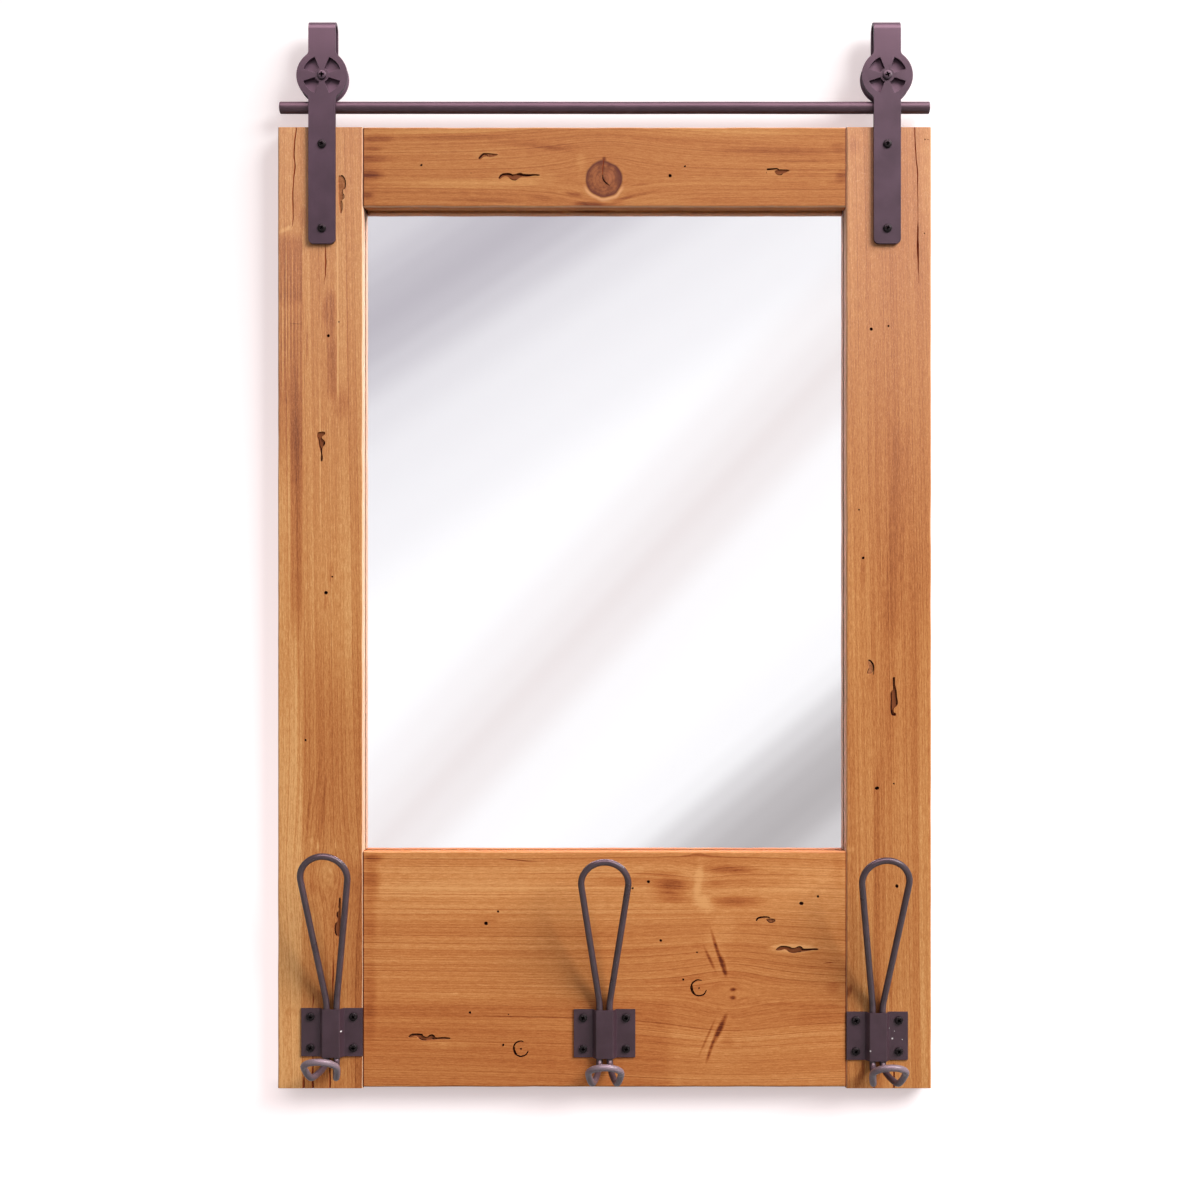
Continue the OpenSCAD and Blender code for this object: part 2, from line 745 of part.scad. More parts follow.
// The functions below give the wire's centre line as points [sideways, forward, up] from the
// bracket's centre on the face of the boards. The wire starts behind the bracket, goes round the
// lower prong, up the right leg, round the upper loop and back down to where it started.

// Where the prong's right side is widest, when its lowest point lies drop below the bracket's centre.
function prong_widest(drop) = [
    prong_w / 2,
    prong_reach - prong_w / 2 * cos(prong_slope),
    prong_rise - drop - prong_w / 2 * sin(prong_slope)
];

// From the bracket's lower edge along the prong's right side to its widest point.
function prong_side(drop) =
    let (
        exit = [leg_x, wire_f, -half_h],
        low = [prong_low_x, prong_low_reach, -drop],
        low_dir = unit([0.2, 1, 0]),
        wide = prong_widest(drop),
        wide_dir = [0, cos(prong_slope), sin(prong_slope)]
    )
    concat(
        [for (i = [0:7]) bezier(exit, exit - [0, 0, exit_pull], low - low_pull * low_dir, low, i / 8)],
        [for (i = [0:4]) bezier(low, low + rise_pull * low_dir, wide - rise_pull * wide_dir, wide, i / 5)]
    );

// Half round from the prong's widest point on the left to that on the right.
function prong_end(drop) = [for (i = [0:12])
    let (a = 15 * i, wide = prong_widest(drop), s = prong_w / 2 * sin(a))
    [-prong_w / 2 * cos(a), wide[1] + s * cos(prong_slope), wide[2] + s * sin(prong_slope)]];

// A point v up the plane of the leaning upper loop and x to the side.
function on_loop_plane(x, v) = [x, wire_f + v * sin(loop_lean), half_h + knee + v * cos(loop_lean)];

// Up the right leg, round the loop whose centre lies rise above the bracket's, and down the left leg.
function loop_path(rise) =
    let (
        centre_v = (rise - half_h - knee) / cos(loop_lean),
        far = norm([leg_x, centre_v]),
        splay = asin(loop_r / far) - atan(leg_x / centre_v),
        bend = on_loop_plane(leg_x, 0),
        up = on_loop_plane(leg_x + knee * sin(splay), knee * cos(splay)),
        start = bend - [0, 0, knee],
        leg = [for (i = [0:3]) bezier(start, (start + 2 * bend) / 3, (up + 2 * bend) / 3, up, i / 3)]
    )
    concat(
        leg,
        [for (i = [0:18])
            let (a = -splay + (180 + 2 * splay) * i / 18)
            on_loop_plane(loop_r * cos(a), centre_v + loop_r * sin(a))],
        flipped(reversed(leg))
    );

// The whole centre line of hook n's wire.
function wire_path(n) = concat(
    [[-leg_x, wire_f, -butt_gap / 2]],
    flipped(prong_side(prong_drops[n])),
    prong_end(prong_drops[n]),
    reversed(prong_side(prong_drops[n])),
    loop_path(loop_rises[n]),
    [[-leg_x, wire_f, butt_gap / 2]]
);

module hook_wire(n) {
    color(bronze_colour) at_hook(n) mirror([0, 1, 0]) tube_along(wire_path(n), wire_r, 10);
}

module hook_screws(n) {
    color(black_colour) at_hook_screws(n) pan_screw();
}

// ---------------------------------------------------------------- nodes

stile(-1);  // left_stile
stile(1);  // right_stile
top_rail();
bottom_board();
frame_dowels();
mirror_glass();
backing_panel();
backing_screws();
keyhole_plate(-1);  // left_keyhole_plate
keyhole_plate(1);  // right_keyhole_plate
keyhole_plate_screws();
strap(-1);  // left_strap
strap(1);  // right_strap
strap_screws();
rail_rod();
rail_welds();
wheel(-1);  // left_wheel
wheel(1);  // right_wheel
axle_bolt(-1);  // left_axle_bolt
axle_bolt(1);  // right_axle_bolt
axle_nuts();
wheel_washers();
hook_bracket(0);  // left_hook_bracket
hook_bracket(1);  // middle_hook_bracket
hook_bracket(2);  // right_hook_bracket
hook_wire(0);  // left_hook_wire
hook_wire(1);  // middle_hook_wire
hook_wire(2);  // right_hook_wire
hook_screws(0);  // left_hook_screws
hook_screws(1);  // middle_hook_screws
hook_screws(2);  // right_hook_screws
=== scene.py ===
"""Looks of a rustic wall mirror with two hanger straps and three wire hooks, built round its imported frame."""

import logging
import random
from collections.abc import Callable, Iterator, Sequence
from contextlib import contextmanager
from dataclasses import dataclass, field
from enum import Enum
from math import acos, asin, atan, atan2, cos, hypot, pi, radians, sin, sqrt, tan

import bmesh
import bpy
from mathutils import Matrix, Vector, noise


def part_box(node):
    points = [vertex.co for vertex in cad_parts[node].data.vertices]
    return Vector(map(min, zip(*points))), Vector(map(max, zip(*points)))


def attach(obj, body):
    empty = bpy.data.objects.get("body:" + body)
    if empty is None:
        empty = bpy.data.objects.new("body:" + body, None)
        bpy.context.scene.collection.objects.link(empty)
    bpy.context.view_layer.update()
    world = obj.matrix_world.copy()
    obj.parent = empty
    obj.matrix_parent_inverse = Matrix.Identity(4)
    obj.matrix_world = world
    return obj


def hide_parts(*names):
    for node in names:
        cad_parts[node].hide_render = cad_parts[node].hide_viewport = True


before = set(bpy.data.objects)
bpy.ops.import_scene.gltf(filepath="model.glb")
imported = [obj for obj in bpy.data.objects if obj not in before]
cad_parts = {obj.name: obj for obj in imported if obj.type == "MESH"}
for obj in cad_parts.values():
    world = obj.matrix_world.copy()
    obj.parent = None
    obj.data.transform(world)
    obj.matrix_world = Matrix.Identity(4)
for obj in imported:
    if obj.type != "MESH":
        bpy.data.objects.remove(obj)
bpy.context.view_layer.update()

LOG = logging.getLogger("wall_mirror")
MM = 0.001
FACE_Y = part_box("left_stile")[0].y
Point = tuple[float, float]
Line = tuple[tuple[float, float, float], ...]  # sideways, upright and radius at each point, in millimetres
Colour = tuple[float, float, float]
Object = bpy.types.Object
Material = bpy.types.Material
Socket = bpy.types.NodeSocket


# ---- workbench


def clear_selection() -> None:
    """Leaves nothing selected."""
    bpy.ops.object.select_all(action="DESELECT")


def take(obj: Object) -> None:
    """Selects one object alone and makes it the active one.

    Args:
        obj: The object to work on.
    """
    clear_selection()
    obj.select_set(True)
    bpy.context.view_layer.objects.active = obj


def settle(obj: Object, name: str) -> Object:
    """Puts an object's place, turn and size into its mesh and names it.

    Args:
        obj: The object to settle.
        name: Its new name.

    Returns:
        The same object.
    """
    take(obj)
    bpy.ops.object.transform_apply(location=True, rotation=True, scale=True)
    obj.name = name
    obj.data.name = name
    return obj


@contextmanager
def edit_mode(obj: Object, kind: str) -> Iterator[None]:
    """Opens an object in edit mode with nothing selected, and closes it again.

    Args:
        obj: The mesh object to edit.
        kind: What is selected: VERT, EDGE or FACE.
    """
    take(obj)
    bpy.ops.object.mode_set(mode="EDIT")
    bpy.ops.mesh.select_mode(type=kind)
    bpy.ops.mesh.select_all(action="DESELECT")
    yield
    bpy.ops.object.mode_set(mode="OBJECT")


def pick(obj: Object, parts: str, test: Callable[..., bool]) -> None:
    """Selects the parts of a mesh in edit mode that pass a test.

    Args:
        obj: The object in edit mode.
        parts: What is selected: faces or edges.
        test: Says whether one is wanted.
    """
    mesh = bmesh.from_edit_mesh(obj.data)
    for part in filter(test, getattr(mesh, parts)):
        part.select_set(True)
    mesh.select_flush_mode()
    bmesh.update_edit_mesh(obj.data)


def pick_faces(obj: Object, test: Callable[[bmesh.types.BMFace], bool]) -> None:
    """Selects the faces that pass a test."""
    pick(obj, "faces", test)


def pick_edges(obj: Object, test: Callable[[Vector, Vector], bool]) -> None:
    """Selects the edges whose two ends pass a test."""
    pick(obj, "edges", lambda edge: test(edge.verts[0].co, edge.verts[1].co))


def turn_outwards() -> None:
    """Turns all faces of the mesh in edit mode outwards."""
    bpy.ops.mesh.select_all(action="SELECT")
    bpy.ops.mesh.normals_make_consistent(inside=False)


def block(name: str, low: Sequence[float], high: Sequence[float]) -> Object:
    """Adds a block between two corners.

    Args:
        name: Name of the block.
        low: Its lowest corner.
        high: Its highest corner.

    Returns:
        The block, with its place in its mesh.
    """
    clear_selection()
    low_corner, high_corner = Vector(low), Vector(high)
    bpy.ops.mesh.primitive_cube_add(size=1, location=(low_corner + high_corner) / 2, scale=high_corner - low_corner)
    return settle(bpy.context.object, name)


def plate(name: str, outline: Sequence[Vector], push: Vector) -> Object:
    """Makes a flat plate from its outline: a filled ring is laid on the outline and extruded.

    Args:
        name: Name of the plate.
        outline: Corners of one face in order.
        push: How far and which way the face is extruded.

    Returns:
        The closed plate.
    """
    clear_selection()
    bpy.ops.mesh.primitive_circle_add(vertices=len(outline), radius=1, fill_type="NGON")
    obj = bpy.context.object
    obj.name = obj.data.name = name
    for vertex, place in zip(obj.data.vertices, outline, strict=True):
        vertex.co = place
    with edit_mode(obj, "FACE"):
        bpy.ops.mesh.select_all(action="SELECT")
        bpy.ops.mesh.extrude_region_move(TRANSFORM_OT_translate={"value": push})
        turn_outwards()
    return obj


def lathe(name: str, profile: Sequence[Point], steps: int, closed: bool = False) -> Object:
    """Turns a profile round the Z axis.

    Args:
        name: Name of the turned piece.
        profile: Points as radius and height.
        steps: Number of steps in the full turn.
        closed: Whether the profile is a closed ring that stays clear of the axis.

    Returns:
        The turned piece, standing on the Z axis.
    """
    clear_selection()
    bpy.ops.mesh.primitive_circle_add(vertices=len(profile), radius=1, fill_type="NOTHING")
    obj = bpy.context.object
    obj.name = obj.data.name = name
    for vertex, (radius, height) in zip(obj.data.vertices, profile, strict=True):
        vertex.co = (radius, 0, height)
    with edit_mode(obj, "EDGE"):
        if not closed:
            ends = (Vector((profile[0][0], 0, profile[0][1])), Vector((profile[-1][0], 0, profile[-1][1])))
            pick_edges(obj, lambda a, b: {tuple(a), tuple(b)} == {tuple(ends[0]), tuple(ends[1])})
            bpy.ops.mesh.delete(type="EDGE")
        bpy.ops.mesh.select_all(action="SELECT")
        bpy.ops.mesh.spin(steps=steps, angle=2 * pi, center=(0, 0, 0), axis=(0, 0, 1))
        bpy.ops.mesh.select_all(action="SELECT")
        bpy.ops.mesh.remove_doubles(threshold=1e-6)
        bpy.ops.mesh.dissolve_degenerate(threshold=1e-7)
        turn_outwards()
    return obj


def tube(name: str, points: Sequence[Vector], radii: Sequence[float], sides: int, fine: int = 5) -> Object:
    """Sweeps a round tube along a smooth curve through points.

    Args:
        name: Name of the tube.
        points: Points that the tube's centre line passes.
        radii: Radius at each point.
        sides: Number of quarter-turn steps of the cross-section.
        fine: Steps of the curve between two points.

    Returns:
        The tube as a mesh.
    """
    curve = bpy.data.curves.new(name, "CURVE")
    curve.dimensions = "3D"
    curve.bevel_depth = 1
    curve.bevel_resolution = sides
    curve.use_fill_caps = True
    curve.resolution_u = fine
    spline = curve.splines.new("BEZIER")
    spline.bezier_points.add(len(points) - 1)
    for knot, place, radius in zip(spline.bezier_points, points, radii, strict=True):
        knot.co = place
        knot.radius = radius
        knot.handle_left_type = knot.handle_right_type = "AUTO"
    obj = bpy.data.objects.new(name, curve)
    bpy.context.scene.collection.objects.link(obj)
    take(obj)
    bpy.ops.object.convert(target="MESH")
    return settle(bpy.context.object, name)


def join(pieces: Sequence[Object], name: str) -> Object:
    """Joins several objects into one.

    Args:
        pieces: The objects to join.
        name: Name of the result.

    Returns:
        The joined object.
    """
    clear_selection()
    for piece in pieces:
        piece.select_set(True)
    bpy.context.view_layer.objects.active = pieces[0]
    if len(pieces) > 1:
        bpy.ops.object.join()
    joined = bpy.context.view_layer.objects.active
    joined.name = joined.data.name = name
    return joined


def soundness(obj: Object) -> tuple[int, float]:
    """Looks whether a shape is closed.

    Args:
        obj: The shape.

    Returns:
        The number of its open or doubled edges, and its volume.
    """
    mesh = bmesh.new()
    mesh.from_mesh(obj.data)
    found = sum(len(edge.link_faces) != 2 for edge in mesh.edges), mesh.calc_volume()
    mesh.free()
    return found


def cut(obj: Object, cutter: Object, inner: Material | None = None) -> None:
    """Cuts an object with another one, which is used up, and cuts again a hair's breadth aside where that fails.

    Args:
        obj: The object to cut.
        cutter: The shape to take away.
        inner: Finish of the cut's own faces, where it differs.
    """
    cutter.data.materials.clear()
    if inner is not None:
        cutter.data.materials.append(inner)
    with edit_mode(cutter, "FACE"):
        bpy.ops.mesh.select_all(action="SELECT")
        bpy.ops.mesh.remove_doubles(threshold=1e-7)
        bpy.ops.mesh.normals_make_consistent(inside=False)
    whole = obj.data.copy()
    most = soundness(obj)[1]
    tries: list[tuple[int, bpy.types.Mesh]] = []
    for attempt in range(5):
        cutter.location = Vector((0.011, 0, 0.017)) * MM * attempt
        modified(obj, "BOOLEAN", operation="DIFFERENCE", solver="EXACT", use_self=True, object=cutter,
            material_mode="INDEX" if inner is None else "TRANSFER")
        flaws, room = soundness(obj)
        tries.append((flaws + (0 if 0.6 * most < room < most else 100000), obj.data))
        if tries[-1][0] < 30:
            break
        obj.data = whole.copy()
    obj.data = min(tries, key=lambda entry: entry[0])[1]
    bpy.data.objects.remove(cutter)


def modified(obj: Object, kind: str, **settings: object) -> None:
    """Applies a modifier with its settings to an object.

    Args:
        obj: The object.
        kind: Kind of the modifier.
        settings: Its settings by name.
    """
    take(obj)
    modifier = obj.modifiers.new(kind, kind)
    for name, setting in settings.items():
        setattr(modifier, name, setting)
    bpy.ops.object.modifier_apply(modifier=modifier.name)


def ease(obj: Object, width: float, angle: float = 40) -> None:
    """Rounds an object's edges that turn more than an angle in degrees."""
    modified(obj, "BEVEL", width=width, segments=2, limit_method="ANGLE", angle_limit=radians(angle))


def smooth(obj: Object, angle: float = 32, front: float | None = None) -> None:
    """Shades an object smooth except across sharp edges, and keeps its large faces flat.

    Args:
        obj: The object to shade.
        angle: Edges sharper than this many degrees stay sharp.
        front: Depth of a front whose faces are shaded fully flat.
    """
    take(obj)
    bpy.ops.object.shade_smooth_by_angle(angle=radians(angle))
    if front is not None:
        with edit_mode(obj, "FACE"):
            pick_faces(obj, lambda face: abs(face.calc_center_median().y - front) < 1e-6)
            bpy.ops.mesh.faces_shade_flat()
    modified(obj, "WEIGHTED_NORMAL", keep_sharp=True)


def copied(master: Object, name: str, place: Matrix) -> Object:
    """Copies an object with its own mesh and moves the copy's mesh.

    Args:
        master: The object to copy.
        name: Name of the copy.
        place: Where the copy goes.

    Returns:
        The copy, whose object sits at the origin.
    """
    twin = master.copy()
    twin.data = master.data.copy()
    twin.name = twin.data.name = name
    twin.data.transform(place)
    bpy.context.scene.collection.objects.link(twin)
    return twin


def facing_front(place: Vector, turn: float = 0.0) -> Matrix:
    """Matrix that sets a piece made up the Z axis with its head to the front."""
    return (Matrix.Translation(place) @ Matrix.Rotation(pi / 2, 4, "X") @ Matrix.Rotation(radians(turn), 4, "Z"))


def hand_over(obj: Object, node: str, finish: Material | None = None,
        body: str = "frame") -> None:
    """Ties a finished piece to its body and the node that it stands for.

    Args:
        obj: The finished piece.
        node: The CAD node that it replaces.
        finish: Its finish, where it has none yet.
        body: The CAD body that carries it.
    """
    if finish is not None:
        obj.data.materials.append(finish)
    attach(obj, body)
    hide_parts(node)
    LOG.info("%s rides on %s, %d faces", obj.name, body, len(obj.data.polygons))


def rounded(corners: Sequence[Point], radii: Sequence[float], steps: int) -> list[Point]:
    """Rounds the corners of a flat outline.

    Args:
        corners: The outline's corners in order.
        radii: Radius at each corner, 0 where it stays sharp.
        steps: Steps of each rounding.

    Returns:
        The new outline.
    """
    made: list[Point] = []
    for i, radius in enumerate(radii):
        here = Vector(corners[i])
        back = (Vector(corners[i - 1]) - here).normalized()
        ahead = (Vector(corners[(i + 1) % len(corners)]) - here).normalized()
        if radius <= 0:
            made.append(tuple(here))
            continue
        half = back.angle(ahead) / 2
        centre = here + (back + ahead).normalized() * radius / sin(half)
        start = here + back * radius / tan(half) - centre
        end = here + ahead * radius / tan(half) - centre
        sweep = start.angle_signed(end)
        for k in range(steps + 1):
            arm = start.copy()
            arm.rotate(Matrix.Rotation(-sweep * k / steps, 2))
            made.append(tuple(centre + arm))
    return made


def softened(ring: Sequence[Point], steps: int) -> list[Point]:
    """Runs a smooth closed line through the corners of a ring.

    Args:
        ring: The corners.
        steps: Steps between two corners.

    Returns:
        The smooth ring.
    """
    made: list[Point] = []
    count = len(ring)
    for i in range(count):
        a, b, c, d = (Vector(ring[(i + k) % count]) for k in (-1, 0, 1, 2))
        for k in range(steps):
            t = k / steps
            made.append(tuple(0.5 * (2 * b + (c - a) * t + (2 * a - 5 * b + 4 * c - d) * t * t
                + (3 * b - a - 3 * c + d) * t ** 3)))
    return made


# ---- material graphs


def tone(*parts: float) -> tuple[float, ...]:
    """Turns a colour's parts, written from 0 to 255, into a linear colour with full opacity."""
    shares = [part / 255 for part in parts]
    return *(share / 12.92 if share <= 0.04045 else ((share + 0.055) / 1.055) ** 2.4 for share in shares), 1


def dimmed(colour: Colour, share: float) -> tuple[float, ...]:
    """Darkens a colour to a share of its parts and makes it linear."""
    return tone(*(part * share for part in colour))


class Wire:
    """A value that flows through a graph; a sum with it adds the node that works it out."""

    def __init__(self, graph: "Graph", socket: Socket) -> None:
        """Keeps the graph and the socket that the value comes from."""
        self.graph, self.socket = graph, socket

    def __add__(self, other: "Value") -> "Wire":
        """Adds a value."""
        return self.graph.math("ADD", self, other)

    def __sub__(self, other: "Value") -> "Wire":
        """Takes a value away."""
        return self.graph.math("SUBTRACT", self, other)

    def __mul__(self, other: "Value") -> "Wire":
        """Multiplies by a value."""
        return self.graph.math("MULTIPLY", self, other)


Value = float | Wire
Shade = Wire | Sequence[float]


class Graph:
    """The node graph of a material or of the world, written as short calls."""

    def __init__(self, name: str, kind: str = "Material") -> None:
        """Starts an empty graph.

        Args:
            name: Name of the material or world.
            kind: Material or World.
        """
        self.owner = (bpy.data.worlds if kind == "World" else bpy.data.materials).new(name)
        self.owner.use_nodes = True
        self.tree = self.owner.node_tree
        self.tree.nodes.clear()
        self.out = self.tree.nodes.new(f"ShaderNodeOutput{kind}")
        self.place = self.add("TexCoord", {}, "Generated" if kind == "World" else "Object")
        split = self.tree.nodes.new("ShaderNodeSeparateXYZ")
        self.feed(split.inputs[0], self.place)
        self.x, self.y, self.z = (Wire(self, socket) for socket in split.outputs)

    def feed(self, socket: Socket, value: Value | Shade) -> None:
        """Links a socket to a value of the graph, or sets it."""
        if isinstance(value, Wire):
            self.tree.links.new(value.socket, socket)
        else:
            socket.default_value = value

    def add(self, kind: str, feeds: dict[str | int, Value | Shade], out: str | int = 0, **settings: object) -> Wire:
        """Adds a node.

        Args:
            kind: Its kind.
            feeds: What its inputs are fed, by name or number.
            out: Name or number of the output that is used.
            settings: Its other settings by name.

        Returns:
            The output.
        """
        node = self.tree.nodes.new(f"ShaderNode{kind}")
        for name, setting in settings.items():
            setattr(node, name, setting)
        for socket, value in feeds.items():
            self.feed(node.inputs[socket], value)
        return Wire(self, node.outputs[out])

    def math(self, operation: str, a: Value, b: Value = 0.0, c: Value = 0.0, clamp: bool = False) -> Wire:
        """Works out a sum, kept from 0 to 1 where it is clamped."""
        return self.add("Math", {0: a, 1: b, 2: c}, operation=operation, use_clamp=clamp)

    def vector(self, x: Value, y: Value, z: Value) -> Wire:
        """Combines three values into a vector."""
        return self.add("CombineXYZ", {0: x, 1: y, 2: z})

    def noise(self, where: Wire, scale: float, detail: float = 2.0, rough: float = 0.5) -> Wire:
        """Adds soft noise about 0.5, with the number and strength of its finer layers."""
        return self.add("TexNoise", {"Vector": where, "Scale": scale, "Detail": detail, "Roughness": rough}, "Fac")

    def fade(self, value: Value, low: float, high: float, start: float = 0.0, end: float = 1.0) -> Wire:
        """Fades smoothly from start to end while the value goes from low to high."""
        feeds = {"Value": value, "From Min": low, "From Max": high, "To Min": start, "To Max": end}
        return self.add("MapRange", feeds, "Result", interpolation_type="SMOOTHSTEP")

    def chance(self, value: Value) -> Wire:
        """Gives each whole number its own random value from 0 to 1."""
        return self.add("TexWhiteNoise", {"W": value}, "Value", noise_dimensions="1D")

    def ray(self, kind: str) -> Wire:
        """Tells whether a ray is of a kind, such as Camera."""
        return self.add("LightPath", {}, f"Is {kind} Ray")

    def ramp(self, value: Value, stops: Sequence[tuple[float, Sequence[float]]], soft: bool = False) -> Wire:
        """Runs a value through a row of colours.

        Args:
            value: Where on the row.
            stops: Places from 0 to 1 and their colours.
            soft: Whether the colours blend with eased ends.

        Returns:
            The colour.
        """
        node = self.tree.nodes.new("ShaderNodeValToRGB")
        row = node.color_ramp
        row.interpolation = "EASE" if soft else "LINEAR"
        while len(row.elements) < len(stops):
            row.elements.new(1)
        for element, (place, colour) in zip(row.elements, stops, strict=True):
            element.position = place
            element.color = colour
        self.feed(node.inputs[0], value)
        return Wire(self, node.outputs[0])

    def mix(self, share: Value, a: Shade, b: Shade, blend: str = "MIX") -> Wire:
        """Mixes two colours, with a share of the second one."""
        return self.add("Mix", {"Factor": share, 6: a, 7: b}, 2, data_type="RGBA", blend_type=blend)

    def bump(self, height: Wire, depth: float, strength: float = 1.0, below: Wire | None = None) -> Wire:
        """Turns a height into a bumped normal of a real depth, laid on a coarser one."""
        feeds = {"Distance": depth, "Strength": strength, "Height": height}
        return self.add("Bump", feeds if below is None else feeds | {"Normal": below})

    def spot(self, stain: "Stain") -> Wire:
        """Soft elliptical spot on the front: 1 at its core, 0 at its rim.

        Args:
            stain: The spot.

        Returns:
            Its strength.
        """
        dx, dz = self.x - stain.x * MM, self.z - stain.z * MM
        c, s = cos(radians(stain.lean)), sin(radians(stain.lean))
        wide, high = stain.wide * MM, stain.high * MM
        u, v = dx * (c / wide) + dz * (s / wide), dz * (c / high) + dx * (-s / high)
        return self.fade(self.math("SQRT", u * u + v * v), stain.core, 1, 1, 0)

    def field(self, band: "Band") -> Wire:
        """Upright rectangle on the front with its own softness each way.

        Args:
            band: The rectangle.

        Returns:
            Its strength.
        """
        ways = (self.z * -band.lean + self.x, self.z)
        sides, ends = (self.fade(way, (a - soft) * MM, (a + soft) * MM) * self.fade(way, (b - soft) * MM,
            (b + soft) * MM, 1, 0) for way, a, b, soft in zip(ways, band.low, band.high, band.soft))
        return sides * ends

    def shine(self, shader: Wire) -> Material:
        """Ends the graph in a shader."""
        self.tree.links.new(shader.socket, self.out.inputs["Surface"])
        return self.owner

    def surface(self, colour: Shade, rough: Value, normal: Wire | None = None,
            **fixed: float | Sequence[float]) -> Material:
        """Ends the graph in one surface shader.

        Args:
            colour: Base colour.
            rough: Roughness.
            normal: Bumped normal.
            fixed: Other sockets by name, with underscores for spaces.

        Returns:
            The finished material.
        """
        feeds = {"Base Color": colour, "Roughness": rough}
        feeds |= {} if normal is None else {"Normal": normal}
        feeds |= {name.replace("_", " "): value for name, value in fixed.items()}
        return self.shine(self.add("BsdfPrincipled", feeds))


# ---- finishes


class Grain(Enum):
    """Which way a board's grain runs."""

    LEVEL = "level"
    UPRIGHT = "upright"


def each(kind: type, *rows: Sequence[float | Point]) -> tuple:
    """Makes one mark of a kind from each row of its fields."""
    return tuple(kind(*row) for row in rows)


@dataclass(frozen=True)
class Knot:
    """A knot that the grain flows round; like all marks, in millimetres on the front."""

    x: float
    z: float
    r: float


@dataclass(frozen=True)
class Stain:
    """A soft darker (below 0) or lighter (above 0) patch: its middle and half sizes."""

    x: float
    z: float
    wide: float
    high: float
    shift: float
    core: float = 0.2
    lean: float = 0.0


@dataclass(frozen=True)
class Band:
    """A darker (below 0) or lighter (above 0) rectangle with its own edges."""

    low: Point
    high: Point
    soft: Point
    shift: float
    lean: float = 0.0


